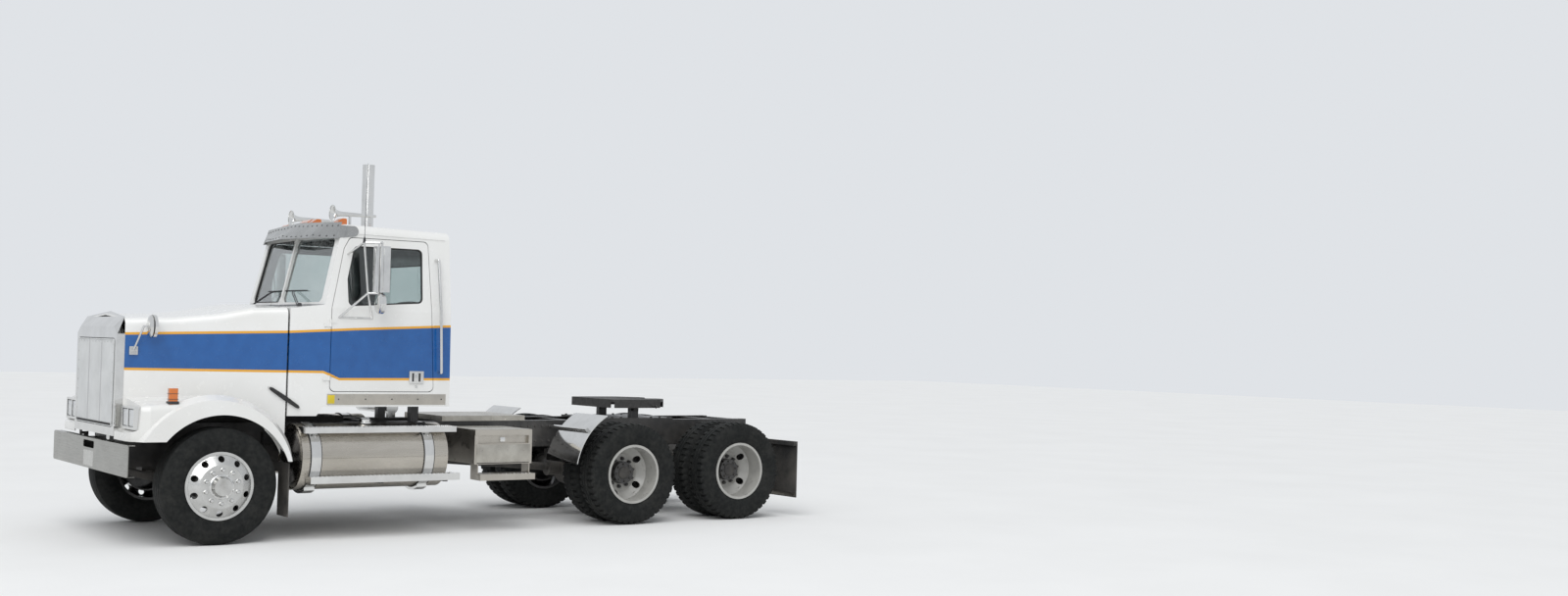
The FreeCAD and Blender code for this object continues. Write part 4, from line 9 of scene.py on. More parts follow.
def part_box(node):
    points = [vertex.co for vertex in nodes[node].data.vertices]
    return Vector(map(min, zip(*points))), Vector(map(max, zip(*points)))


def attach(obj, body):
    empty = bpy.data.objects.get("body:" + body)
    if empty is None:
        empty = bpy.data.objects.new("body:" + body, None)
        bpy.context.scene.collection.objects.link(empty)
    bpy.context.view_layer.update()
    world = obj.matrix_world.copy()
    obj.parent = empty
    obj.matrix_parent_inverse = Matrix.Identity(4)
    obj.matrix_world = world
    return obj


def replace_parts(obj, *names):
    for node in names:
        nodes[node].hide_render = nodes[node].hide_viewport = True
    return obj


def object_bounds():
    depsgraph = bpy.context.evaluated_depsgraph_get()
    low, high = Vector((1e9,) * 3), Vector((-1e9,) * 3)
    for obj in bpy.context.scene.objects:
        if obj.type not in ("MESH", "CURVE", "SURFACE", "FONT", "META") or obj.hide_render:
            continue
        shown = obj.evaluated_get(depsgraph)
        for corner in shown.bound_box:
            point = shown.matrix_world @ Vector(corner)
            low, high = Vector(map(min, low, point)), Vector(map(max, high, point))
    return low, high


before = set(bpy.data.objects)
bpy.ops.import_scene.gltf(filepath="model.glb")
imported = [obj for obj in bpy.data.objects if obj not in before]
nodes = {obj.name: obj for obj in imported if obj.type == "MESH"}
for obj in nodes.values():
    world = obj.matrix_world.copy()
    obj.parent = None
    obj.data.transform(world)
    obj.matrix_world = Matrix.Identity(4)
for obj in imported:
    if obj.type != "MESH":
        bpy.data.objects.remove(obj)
cad_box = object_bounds()

SIDES = (("left", 1), ("right", -1))
DRIVES = ("drive1", "drive2")
MM = 0.001
SUNK = 2 * MM  # how far what stands on a surface goes into it


def middle(node):
    """The centre of a CAD node's box."""
    low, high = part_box(node)
    return (low + high) / 2


AXLE_Y = middle("front_rim_left").y


def at(x, y, z):
    """A point given from the front axle's line along the truck and from the ground up."""
    return Vector((x, AXLE_Y + y, z))


def mm(x, y, z):
    """A step given in millimetres."""
    return Vector((x, y, z)) * MM


# Materials

LABELS = {
    "colour": "Base Color", "metal": "Metallic", "rough": "Roughness", "ior": "IOR",
    "clear": "Transmission Weight", "coat": "Coat Weight", "coat_rough": "Coat Roughness",
    "sheen": "Sheen Weight", "specular": "Specular IOR Level",
}
DUST = (0.33, 0.30, 0.26)
WHITE = (0.78, 0.78, 0.765)
STRETCH_ALONG = (1, 0.04, 1)
STRETCH_UP = (1, 1, 0.04)
STRETCH_ACROSS = (0.04, 1, 1)


def shaded(colour, share):
    return tuple(part * share for part in colour)


class Look:
    """One material, its nodes added by short calls. Places in it are in the truck's own frame."""

    def __init__(self, name, **values):
        self.material = bpy.data.materials.new(name)
        self.material.use_nodes = True
        self.tree = self.material.node_tree
        self.tree.nodes.clear()
        self.shader = self.tree.nodes.new("ShaderNodeBsdfPrincipled")
        output = self.tree.nodes.new("ShaderNodeOutputMaterial")
        self.tree.links.new(self.shader.outputs["BSDF"], output.inputs["Surface"])
        source = self.tree.nodes.new("ShaderNodeTexCoord")
        self.place = source.outputs["Object"]
        self.outward = source.outputs["Normal"]
        self.x, self.y, self.z = self.split(self.place)
        for key, value in values.items():
            self.give(key, value)

    def give(self, key, value):
        """Sets one of the shader's inputs to a number, a colour or another node's result."""
        self.fill(self.shader.inputs[LABELS[key]], value)

    def fill(self, socket, value):
        if isinstance(value, bpy.types.NodeSocket):
            self.tree.links.new(value, socket)
        elif isinstance(value, tuple) and len(value) == 3 and socket.type == "RGBA":
            socket.default_value = (*value, 1)
        else:
            socket.default_value = value

    def node(self, kind, inputs, output=0, **settings):
        made = self.tree.nodes.new("ShaderNode" + kind)
        for key, value in settings.items():
            setattr(made, key, value)
        for key, value in inputs.items():
            self.fill(made.inputs[key], value)
        return made.outputs[output]

    def split(self, vector):
        parts = self.tree.nodes.new("ShaderNodeSeparateXYZ")
        self.tree.links.new(vector, parts.inputs[0])
        return parts.outputs

    def maths(self, kind, *values):
        return self.node("Math", dict(enumerate(values)), operation=kind)

    def plus(self, first, second):
        return self.maths("ADD", first, second)

    def minus(self, first, second):
        return self.maths("SUBTRACT", first, second)

    def times(self, first, second):
        return self.maths("MULTIPLY", first, second)

    def below(self, value, limit):
        return self.maths("LESS_THAN", value, limit)

    def above(self, value, limit):
        return self.maths("GREATER_THAN", value, limit)

    def size(self, value):
        return self.maths("ABSOLUTE", value)

    def behind_axle(self):
        """How far a place is behind the front axle."""
        return self.minus(self.y, AXLE_Y)

    def radius(self, across, up):
        """How far a place is from a line, by its two distances from it."""
        return self.maths("SQRT", self.plus(self.times(across, across), self.times(up, up)))

    def ramp(self, value, start, end, low=0.0, high=1.0):
        """A value that goes from low to high as the given one goes from start to end."""
        return self.node("MapRange", {0: value, 1: start, 2: end, 3: low, 4: high})

    def inside(self, value, low, high):
        """One between the two bounds and nothing outside them."""
        return self.times(self.above(value, low), self.below(value, high))

    def both(self, *masks):
        result = masks[0]
        for mask in masks[1:]:
            result = self.times(result, mask)
        return result

    def runs(self, value, points):
        """A height that follows straight runs through points of (value, height)."""
        total = points[0][1]
        for (start, low), (end, high) in zip(points, points[1:]):
            total = self.plus(total, self.ramp(value, start, end, 0, high - low))
        return total

    def stretched(self, factors):
        return self.node("Mapping", {"Vector": self.place, "Scale": factors})

    def noise(self, scale, detail=4.0, rough=0.55, stretch=None):
        place = self.stretched(stretch) if stretch else self.place
        inputs = {"Vector": place, "Scale": scale, "Detail": detail, "Roughness": rough}
        return self.node("TexNoise", inputs)

    def patches(self, scale, detail, low=0.0, high=1.0, start=0.3, end=0.7, **noise):
        """A value that wanders softly between low and high."""
        return self.ramp(self.noise(scale, detail, **noise), start, end, low, high)

    def wave(self, scale, direction, distortion=0.0):
        inputs = {"Vector": self.place, "Scale": scale, "Distortion": distortion}
        return self.node("TexWave", inputs, 1, bands_direction=direction)

    def blend(self, share, first, second):
        """A colour between two colours."""
        return self.node("Mix", {0: share, 6: first, 7: second}, 2, data_type="RGBA")

    def mottled(self, scale, detail, first, second, start=0.3):
        """Two colours in soft patches."""
        return self.blend(self.patches(scale, detail, start=start), first, second)

    def dusty(self, colour, top, amount):
        """The colour with road dust on it, thicker towards the ground."""
        low = self.ramp(self.z, 0.1, top, amount, 0.0)
        return self.blend(self.times(low, self.patches(3.5, 6, start=0.35)), colour, DUST)

    def bump(self, height, depth, strength):
        """Relief that is depth metres deep."""
        made = self.node("Bump", {"Height": height, "Distance": depth, "Strength": strength})
        self.tree.links.new(made, self.shader.inputs["Normal"])

    def made(self, colour, rough, height=None, depth=0.0, strength=1.0):
        """The material, with its colour, roughness and relief."""
        self.give("colour", colour)
        self.give("rough", rough)
        if height is not None:
            self.bump(height, depth, strength)
        return self.material


def band_masks(look):
    """Where the blue band and its two thin stripes run along the hood and the cab."""
    y = look.behind_axle()
    upper = look.runs(y, ((-0.769, 1.827), (0.640, 1.880), (1.227, 1.919), (2.182, 1.971)))
    lower = look.runs(y, ((-0.769, 1.500), (0.950, 1.500), (1.100, 1.436), (2.182, 1.443)))
    outward = look.runs(y, ((-0.70, 0.60), (0.62, 0.90), (1.0, 0.965)))
    side = look.above(look.size(look.x), outward)
    stripe = 22 * MM
    whole = look.both(side, look.inside(look.z, lower, upper))
    core = look.inside(look.z, look.plus(lower, stripe), look.minus(upper, stripe))
    return whole, core


def cab_inside(look):
    """One on the cab's inner faces, which are set in from its skin."""
    y = look.behind_axle()
    across = look.size(look.x)
    half_width = 0.994
    lean = look.ramp(look.z, 2.11, 2.76, 0.0, 0.065)
    narrow = look.ramp(y, 0.65, 1.0, 0.06, 0.0)
    risen = look.plus(look.z, look.ramp(y, 1.15, 2.2, 0.0, 0.034))
    roof_bend = look.ramp(risen, 2.80, 2.86, 0.0, 0.045)
    half = look.minus(look.minus(look.minus(half_width, lean), narrow), roof_bend)
    front = look.runs(look.z, ((2.084, 0.68), (2.133, 0.92), (2.795, 1.08), (2.90, 1.20)))
    sweep = look.times(look.maths("POWER", across, 2.0), 0.058)
    return look.both(look.below(across, half), look.inside(y, look.plus(front, sweep), 2.165),
                     look.inside(risen, 1.2, 2.862))


def hood_inside(look):
    """One on the hood's inner faces, found by the way that they look."""
    across, along, up = look.split(look.outward)
    inward = look.below(look.times(look.x, across), -0.03)
    roof = look.both(look.below(up, -0.4), look.below(look.size(look.x), 0.75))
    return look.both(look.maths("MAXIMUM", inward, roof), look.inside(look.behind_axle(), -0.60, 0.61))


def cab_paint():
    look = Look("cab_paint", coat=0.35, coat_rough=0.06)
    whole, core = band_masks(look)
    blue = look.mottled(9, 5, (0.004, 0.080, 0.285), (0.008, 0.098, 0.33))
    white = look.dusty(look.mottled(1.6, 6, WHITE, (0.74, 0.735, 0.71), 0.35), 1.25, 0.4)
    colour = look.blend(whole, white, (0.74, 0.36, 0.03))
    colour = look.blend(look.both(whole, core), colour, blue)
    lining = look.mottled(60, 3, (0.085, 0.088, 0.095), (0.12, 0.122, 0.13))
    colour = look.blend(cab_inside(look), colour, lining)
    moulded = look.mottled(26, 6, (0.27, 0.275, 0.27), (0.36, 0.36, 0.35))
    colour = look.blend(hood_inside(look), colour, moulded)
    return look.made(colour, look.patches(14, 5, 0.16, 0.30), look.noise(420, 2), 0.1 * MM, 0.25)


def plain_paint(name, colour, rough, dust_top, dust):
    look = Look(name, coat=0.3, coat_rough=0.12)
    base = look.mottled(7, 6, colour, shaded(colour, 0.86), 0.35)
    return look.made(look.dusty(base, dust_top, dust), look.patches(22, 5, rough * 0.75, rough * 1.35),
                     look.noise(300, 3), 0.15 * MM, 0.4)


def metal(name, colour, rough, stretch=None, dust_top=1.0, dust=0.35):
    """Bare metal, brushed along one way where stretch is given, with water marks and road film."""
    look = Look(name, metal=1.0)
    stain = look.patches(5, 7, start=0.42, end=0.72, rough=0.65)
    base = look.blend(look.times(stain, 0.5), colour, shaded(colour, 0.72))
    grain = look.noise(260, 2, 0.5, stretch)
    marks = look.patches(11, 6, rough * 0.7, rough * 1.6, end=0.75)
    return look.made(look.dusty(base, dust_top, dust),
                     look.plus(marks, look.ramp(grain, 0.3, 0.7, 0, rough * 0.5)), grain, 0.06 * MM, 0.3)


def tyre_rubber():
    look = Look("tyre_rubber", specular=0.2)
    grey = look.mottled(24, 6, (0.008, 0.009, 0.009), (0.016, 0.017, 0.016), 0.35)
    dust = look.patches(6, 7, 0.0, 0.4, 0.45, 0.8, rough=0.65)
    return look.made(look.blend(dust, grey, (0.045, 0.044, 0.04)), look.patches(40, 4, 0.62, 0.86),
                     look.noise(190, 5), 0.5 * MM, 0.5)


def matte(name, colour, rough, grain, relief, dust):
    """Rubber, plastic and cast parts: a dull grained surface."""
    look = Look(name, specular=0.35)
    lighter = tuple(min(part * 1.55 + 0.006, 1.0) for part in colour)
    base = look.blend(look.patches(grain * 0.1, 5, end=0.72), colour, lighter)
    roughness = look.patches(grain * 0.15, 4, rough * 0.85, min(rough * 1.15, 1))
    return look.made(look.dusty(base, 1.2, dust), roughness, look.noise(grain, 4), relief * MM, 0.6)


def glass():
    look = Look("window_glass", ior=1.45, coat=0.4, coat_rough=0.02, clear=1.0)
    tint = look.mottled(2.5, 5, (0.62, 0.70, 0.69), (0.70, 0.76, 0.75))
    return look.made(tint, look.patches(18, 6, 0.0, 0.06, 0.4, 0.8))


def lens(name, colour, direction, pitch):
    """A moulded lamp lens with fine ribs."""
    look = Look(name, ior=1.49, coat=0.8, coat_rough=0.04, specular=0.6)
    ribs = look.wave(pitch, direction)
    tint = look.blend(look.ramp(ribs, 0.2, 0.9), shaded(colour, 0.55), colour)
    return look.made(tint, look.patches(30, 4, 0.08, 0.2), ribs, 0.8 * MM, 0.7)


def cover_vinyl():
    """The pale quilted cover over the radiator, with its two sewn lines."""
    look = Look("cover_vinyl", sheen=0.2, specular=0.35)
    folds = look.noise(2.6, 3, 0.4, (1, 1, 0.35))
    seam = look.inside(look.size(look.x), 0.187, 0.208)
    grey = look.dusty(look.mottled(5, 6, (0.60, 0.61, 0.61), (0.50, 0.51, 0.51)), 1.5, 0.35)
    height = look.plus(look.times(folds, 14.0), look.times(look.noise(700, 3), 0.25))
    return look.made(look.blend(seam, grey, (0.44, 0.445, 0.45)), look.ramp(folds, 0.3, 0.7, 0.55, 0.8),
                     height, 0.8 * MM, 0.8)


def cloth():
    look = Look("seat_cloth", sheen=0.4, specular=0.2)
    weave = look.times(look.wave(260, "X", 1.0), look.wave(260, "Z", 1.0))
    grey = look.mottled(30, 5, (0.035, 0.038, 0.045), (0.07, 0.074, 0.085))
    return look.made(look.blend(look.times(weave, 0.5), grey, (0.11, 0.115, 0.13)),
                     look.patches(80, 3, 0.75, 0.95), weave, 0.6 * MM, 0.8)


def treadplate():
    """Bright plate with a raised diamond grip."""
    look = Look("treadplate", metal=1.0)
    lugs = look.node("TexVoronoi", {"Vector": look.stretched((1, 1, 0.2)), "Scale": 42})
    return look.made(look.mottled(6, 6, (0.50, 0.48, 0.43), (0.34, 0.32, 0.285), 0.35),
                     look.patches(25, 5, 0.24, 0.45), look.ramp(lugs, 0.1, 0.35, 1, 0), 1.6 * MM, 0.8)


def bumper_steel():
    """Bright steel with a bare pale plate in the middle."""
    look = Look("bumper_steel")
    on_plate = look.both(look.below(look.size(look.x), 0.155), look.inside(look.z, 0.630, 0.768),
                         look.below(look.y, cad_box[0].y + 4 * MM))
    look.give("metal", look.minus(1.0, on_plate))
    streaks = look.noise(90, 3, 0.5, (0.05, 1, 1))
    stain = look.patches(4, 7, start=0.4, end=0.75, rough=0.65)
    steel = look.blend(look.times(stain, 0.6), (0.30, 0.30, 0.28), (0.22, 0.215, 0.20))
    bare = look.mottled(40, 4, (0.46, 0.46, 0.44), (0.38, 0.38, 0.36))
    return look.made(look.dusty(look.blend(on_plate, steel, bare), 0.95, 0.45),
                     look.ramp(streaks, 0.3, 0.7, 0.16, 0.30),
                     look.plus(look.times(streaks, 0.1), on_plate), 1.0 * MM, 0.5)


def wheel_look(name, node, colour, rough, shine, hub_radius, inner_x):
    """A disc wheel in its own colour. Its hub, out to hub_radius, is dull iron, and the barrel of its rim,
    inward of inner_x, is painted dark as shade.
    """
    centre = middle(node)
    hollow_shade_radius = 0.30
    look = Look(name, coat=0.3, coat_rough=0.1)
    radius = look.radius(look.minus(look.y, centre.y), look.minus(look.z, centre.z))
    # Painted shade: inward of inner_x and within 0.30 m of the axle the rim is coloured dark iron and is
    # not metallic.
    hollow_shade = look.both(look.below(look.size(look.x), inner_x), look.below(radius, hollow_shade_radius))
    hub_and_shade = look.maths("MAXIMUM", hollow_shade, look.below(radius, hub_radius))
    base = look.mottled(9, 6, colour, shaded(colour, 0.84), 0.35)
    grime = look.times(look.ramp(radius, hub_radius, hub_radius + 0.12, 0.45, 0.08),
                       look.patches(16, 6, end=0.65))
    base = look.blend(grime, base, (0.20, 0.18, 0.155))
    # The dark iron colour, used for the hub and for the painted shade in the rim.
    hub_and_shade_colour = look.mottled(30, 5, (0.018, 0.018, 0.018), (0.045, 0.042, 0.04))
    look.give("metal", look.times(look.minus(1.0, hub_and_shade), shine))
    return look.made(look.blend(hub_and_shade, base, hub_and_shade_colour), look.patches(20, 5, rough * 0.8, rough * 1.5),
                     look.noise(240, 3), 0.2 * MM, 0.4)


def tank_metal():
    """Brushed tank skin, its dished ends painted dark as shade and as the reflection of the tyres and
    ground.
    """
    look = Look("tank_metal", metal=1.0)
    low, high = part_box("fuel_tanks")
    end_depth = 31 * MM
    # Painted shade and painted reflection: the dished ends get the dark colour below.
    end_shade = look.minus(1.0, look.inside(look.y, low.y + end_depth, high.y - end_depth))
    streaks = look.noise(120, 3, 0.5, STRETCH_ALONG)
    stain = look.patches(3, 6, start=0.35, rough=0.6, stretch=(1, 0.25, 1))
    skin = look.blend(look.times(stain, 0.7), (0.56, 0.525, 0.47), (0.34, 0.315, 0.27))
    # The dark colour painted on the ends as their shade and reflection.
    end = look.mottled(8, 6, (0.16, 0.15, 0.145), (0.24, 0.23, 0.22))
    return look.made(look.dusty(look.blend(end_shade, skin, end), 0.75, 0.4),
                     look.ramp(streaks, 0.25, 0.75, 0.17, 0.34), streaks, 0.1 * MM, 0.4)


def frame_paint():
    """Satin black chassis paint, with red faces on the round tail lamps."""
    look = Look("frame_black", coat=0.2, coat_rough=0.2)
    base = look.mottled(12, 6, (0.016, 0.016, 0.017), (0.034, 0.033, 0.032), 0.35)
    lamp_x, lamp_z, lamp_radius = 0.330, 0.900, 44 * MM
    reach = look.radius(look.minus(look.size(look.x), lamp_x), look.minus(look.z, lamp_z))
    at_back = look.above(look.y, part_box("frame")[1].y - 30 * MM)
    on_lamp = look.both(at_back, look.below(reach, lamp_radius))
    red = look.blend(look.ramp(look.wave(40, "X"), 0.2, 0.8), (0.22, 0.006, 0.005), (0.50, 0.02, 0.015))
    return look.made(look.blend(on_lamp, look.dusty(base, 1.3, 0.3), red),
                     look.patches(22, 5, 0.3, 0.55), look.noise(280, 3), 0.2 * MM, 0.4)


paint = cab_paint()
chrome = metal("polished", (0.70, 0.70, 0.69), 0.08, dust_top=1.2, dust=0.25)
bright = metal("bright_brushed", (0.50, 0.47, 0.42), 0.26, STRETCH_ALONG)
visor_steel = metal("visor_steel", (0.40, 0.405, 0.40), 0.2, STRETCH_ACROSS, dust=0.0)
tank_skin = tank_metal()
stack_steel = metal("stack_steel", (0.70, 0.70, 0.69), 0.16, STRETCH_UP)
iron = matte("cast_iron", (0.035, 0.034, 0.033), 0.6, 260, 0.6, 0.45)
frame_black = frame_paint()
hub_black = plain_paint("hub_black", (0.028, 0.028, 0.029), 0.42, 0.9, 0.3)
rubber = matte("rubber", (0.018, 0.018, 0.018), 0.75, 500, 0.3, 0.35)
plastic = matte("black_plastic", (0.025, 0.025, 0.027), 0.5, 600, 0.3, 0.1)
trim_grey = matte("trim_grey", (0.06, 0.062, 0.068), 0.6, 600, 0.35, 0.0)
tyre_black = tyre_rubber()
clear_glass = glass()
amber = lens("amber_lens", (0.80, 0.20, 0.02), "Y", 40)
lamp_glass = lens("lamp_glass", (0.70, 0.72, 0.73), "X", 34)
vinyl = cover_vinyl()
fabric = cloth()
plate = treadplate()
mirror_glass = metal("mirror_glass", (0.80, 0.82, 0.83), 0.03, dust_top=0.5, dust=0.0)
signal_yellow = plain_paint("signal_yellow", (0.72, 0.55, 0.02), 0.45, 1.0, 0.1)
polished_wheel = wheel_look("polished_wheel", "front_rim_left", (0.60, 0.60, 0.585), 0.2, 0.85,
                            0.0, 1.133)
painted_wheels = {axle: wheel_look(axle + "_wheel_paint", axle + "_rims_left", (0.43, 0.425, 0.40),
                                   0.3, 0.0, 0.1165, 0.893) for axle in DRIVES}

CAD_LOOKS = (
    (paint, "hood cab_shell door_left door_right"),
    (frame_black, "frame fifth_wheel_base"),
    (iron, "front_axle knuckle_left knuckle_right tie_rod drive_axles rear_suspension engine"
           " fifth_wheel"),
    (chrome, "grille_surround headlamps hood_mirrors air_horns tank_mounts quarter_fenders grab_handles"
             " door_mirror_left door_mirror_right"),
    (clear_glass, "cab_glass door_glass_left door_glass_right"),
    (vinyl, "winter_front"),
    (amber, "signal_lamps marker_lamps"),
    (bumper_steel(), "bumper"),
    (visor_steel, "sun_visor"),
    (trim_grey, "dashboard"),
    (plastic, "steering_wheel"),
    (stack_steel, "exhaust_stack"),
    (tank_skin, "fuel_tanks"),
    (bright, "side_boxes"),
    (plate, "deck"),
    (rubber, "mud_flaps"),
)
for material, names in CAD_LOOKS:
    for name in names.split():
        nodes[name].data.materials.clear()
        nodes[name].data.materials.append(material)


# Shapes

def best_shift(last, first):
    """How far to turn the first ring so that it lines up with the last."""
    count = len(first)
    spans = [sum((last[i].co - first[(i + turn) % count].co).length for i in range(count))
             for turn in range(count)]
    return spans.index(min(spans))


class Shape:
    """A mesh in the making, in the truck's own frame, with one or more materials."""

    def __init__(self, *materials):
        self.bm = bmesh.new()
        self.materials = materials
        self.index = 0

    def use(self, material):
        """What is added next has this material."""
        self.index = self.materials.index(material)
        return self

    def skin(self, corners):
        self.bm.faces.new(corners).material_index = self.index

    def slab(self, centre, half_sizes, turn=Matrix.Identity(3), bevel=0.0):
        """A box about its centre, turned by a matrix."""
        size = Matrix.Diagonal((*[abs(part) * 2 for part in half_sizes], 1))
        place = Matrix.Translation(centre) @ turn.to_4x4() @ size
        corners = bmesh.ops.create_cube(self.bm, size=1, matrix=place)["verts"]
        for face in {face for corner in corners for face in corner.link_faces}:
            face.material_index = self.index
        if bevel:
            edges = {edge for corner in corners for edge in corner.link_edges}
            bmesh.ops.bevel(self.bm, geom=list(edges), offset=bevel, segments=2, profile=0.6,
                            affect="EDGES", material=self.index)
        return self

    def box(self, low, high, bevel=0.0):
        low, high = Vector(low), Vector(high)
        return self.slab((low + high) / 2, (high - low) / 2, bevel=bevel)

    def ring(self, centre, first, second, radius, sides):
        turns = [math.tau * step / sides for step in range(sides)]
        return [self.bm.verts.new(centre + (first * math.cos(turn) + second * math.sin(turn)) * radius)
                for turn in turns]

    def sleeve(self, rings, closed=False):
        """Faces from each ring of points to the next, and back to the first if closed."""
        pairs = list(zip(rings, rings[1:]))
        if closed:
            pairs.append((rings[-1], rings[0]))
        for before, after in pairs:
            count = len(before)
            for step in range(count):
                following = (step + 1) % count
                self.skin([before[step], before[following], after[following], after[step]])
        return self

    def capped(self, rings):
        self.sleeve(rings)
        self.skin(list(reversed(rings[0])))
        self.skin(rings[-1])
        return self

    def lathe(self, centre, direction, profile, sides=32):
        """A round form about a line, through points of (distance along, radius)."""
        direction = Vector(direction).normalized()
        first = direction.orthogonal().normalized()
        second = direction.cross(first).normalized()
        return self.capped([self.ring(Vector(centre) + direction * along, first, second, radius, sides)
                            for along, radius in profile])

    def rod(self, start, end, radius, sides=12):
        line = Vector(end) - Vector(start)
        return self.lathe(start, line, ((0, radius), (line.length, radius)), sides)

    def hoop(self, centre, first, second, half_width, inner, outer, sides):
        """A flat band about a round form, in the plane of two directions."""
        first, second = Vector(first), Vector(second)
        axis = second.cross(first)
        section = ((-half_width, inner), (-half_width, outer), (half_width, outer), (half_width, inner))
        rings = [self.ring(centre + axis * along, first, second, radius, sides)
                 for along, radius in section]
        return self.sleeve(rings, closed=True)

    def tube(self, points, radius, sides=8, closed=False):
        """A round bar along points."""
        points = [Vector(point) for point in points]
        count = len(points)
        rings = []
        across = None
        for index, point in enumerate(points):
            before = points[index - 1] if index or closed else point
            after = points[(index + 1) % count] if index + 1 < count or closed else point
            direction = (after - before).normalized()
            if across is None:
                across = direction.orthogonal()
            across = (across - direction * across.dot(direction)).normalized()
            rings.append(self.ring(point, across, direction.cross(across), radius, sides))
        if not closed:
            return self.capped(rings)
        shift = best_shift(rings[-1], rings[0])
        rings[0] = rings[0][shift:] + rings[0][:shift]
        return self.sleeve(rings, closed=True)

    def prism(self, outline, depth):
        """A flat outline of points, given thickness by a vector."""
        near = [self.bm.verts.new(point) for point in outline]
        far = [self.bm.verts.new(point + Vector(depth)) for point in outline]
        return self.capped([far, near])

    def bolts(self, places, direction, radius, height, sides=6):
        """Hexagonal or round heads that stand on a surface."""
        direction = Vector(direction).normalized()
        head = ((0, radius), (height * 0.8, radius), (height, radius * 0.82))
        for place in places:
            self.lathe(Vector(place) - direction * 1 * MM, direction, head, sides)
        return self

    def done(self, name, body, slot, crease=35):
        """The finished piece, which rides on a body of the frame."""
        bmesh.ops.recalc_face_normals(self.bm, faces=self.bm.faces)
        for edge in self.bm.edges:
            if len(edge.link_faces) == 2 and edge.calc_face_angle(0) > math.radians(crease):
                edge.smooth = False
        for face in self.bm.faces:
            face.smooth = True
        piece = holder(name, self.bm)
        self.bm.free()
        for material in self.materials:
            piece.data.materials.append(material)
        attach(piece, body)
        return piece


def linked(name, data):
    """A new object in the scene."""
    made = bpy.data.objects.new(name, data)
    bpy.context.scene.collection.objects.link(made)
    return made


def holder(name, bm):
    """An object with a mesh of its own."""
    mesh = bpy.data.meshes.new(name)
    bm.to_mesh(mesh)
    return linked(name, mesh)


def scrap(*spares):
    """Removes objects that were needed only for a moment."""
    for spare in spares:
        mesh = spare.data
        bpy.data.objects.remove(spare)
        bpy.data.meshes.remove(mesh)


def worked_out(piece):
    """The mesh of an object after its modifiers."""
    return piece.evaluated_get(bpy.context.evaluated_depsgraph_get()).data


def circle(centre, radius, count, start=0.0):
    """Places on a circle in the plane across the truck, such as a ring of wheel nuts."""
    turns = [start + math.tau * step / count for step in range(count)]
    return [centre + Vector((0, math.cos(turn), math.sin(turn))) * radius for turn in turns]


# Tyres: the plain rings get a moulded tread and rounded side walls

TREAD_DEPTH = 15 * MM
GROOVE_HALF = 4.5 * MM
CROWN_HALF = 0.112
CROWN_DROP = 3.5 * MM
SHOULDER_DROP = 5.5 * MM
SHOULDER_RADIUS = 0.47
TYRE_LOW, TYRE_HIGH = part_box("front_tyre_left")
TYRE_RADIUS = TYRE_HIGH.z / 2
TYRE_WIDTH = TYRE_HIGH.x - TYRE_LOW.x
SIDE_WALL = [(0.1055, 0.287), (0.108, 0.300), (0.122, 0.322), (0.134, 0.352), (0.1392, 0.385),
             (0.1398, 0.405), (0.137, 0.435), (0.130, 0.462), (0.1215, 0.482), (0.1155, 0.495)]
LUG_CUTS = (0.0, 0.60, 0.68, 0.94)  # shares of a lug's length, the last two in the gap
LUG_START = 0.052  # the cross cuts begin this far from the tyre's middle
LUG_WALL = (0.1150, 0.1225)  # the part of the side wall that they cut less deeply
STEER_GROOVES = (-0.072, -0.026, 0.026, 0.072)
DRIVE_GROOVES = (-0.048, 0.0, 0.048)


def rib_profile(grooves):
    """The tread from one shoulder to the other, as points of (across, radius)."""
    half = GROOVE_HALF
    points = [(CROWN_HALF, SHOULDER_DROP)]
    for groove in sorted(grooves, reverse=True):
        points += [(groove + half, 0.0), (groove + half * 0.7, TREAD_DEPTH),
                   (groove - half * 0.7, TREAD_DEPTH), (groove - half, 0.0)]
    points.append((-CROWN_HALF, SHOULDER_DROP))
    return [(across, TYRE_RADIUS - drop - CROWN_DROP * (across / CROWN_HALF) ** 2)
            for across, drop in points]


def cut_depth(across, radius):
    """How deep the gap between two lugs is at a point of the profile."""
    if radius > SHOULDER_RADIUS and LUG_START < across <= CROWN_HALF + 1 * MM:
        return TREAD_DEPTH
    if radius > SHOULDER_RADIUS and LUG_WALL[0] < across < LUG_WALL[1]:
        return TREAD_DEPTH * 0.55
    return 0.0


def tyre_ring(shape, centre, grooves, lugs):
    """One tyre about its axle. Lugs is how many cross cuts its shoulders have."""
    far_wall = [(-across, radius) for across, radius in reversed(SIDE_WALL)]
    profile = SIDE_WALL + rib_profile(grooves) + far_wall
    cuts = LUG_CUTS if lugs else (0.0,)
    count = lugs or 96
    rings = []
    for step in range(count):
        for index, share in enumerate(cuts):
            turn = math.tau * (step + share) / count
            ring = []
            for across, radius in profile:
                out = radius - (cut_depth(abs(across), radius) if index >= 2 else 0.0)
                point = centre + Vector((across, math.cos(turn) * out, math.sin(turn) * out))
                ring.append(shape.bm.verts.new(point))
            rings.append(ring)
    shape.sleeve(rings, closed=True)


for side, sign in SIDES:
    node = "front_tyre_" + side
    shape = Shape(tyre_black)
    tyre_ring(shape, middle(node), STEER_GROOVES, 0)
    tyre = shape.done("front_tread_" + side, "wheel_front_" + side, "tyre", 50)
    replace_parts(tyre, node)
    for axle in DRIVES:
        node = axle + "_tyres_" + side
        low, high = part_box(node)
        offset = (high.x - low.x - TYRE_WIDTH) / 2
        shape = Shape(tyre_black)
        for shift in (-offset, offset):
            tyre_ring(shape, middle(node) + Vector((shift, 0, 0)), DRIVE_GROOVES, 46)
        tyres = shape.done(axle + "_tread_" + side, "wheel_%s_%s" % (axle, side), "tyre", 50)
        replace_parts(tyres, node)


# Places on the frame

BESIDE_X, AHEAD_Y, ABOVE_Z = 1.4, -1.2, 3.3  # outside the truck's sides, front and roof


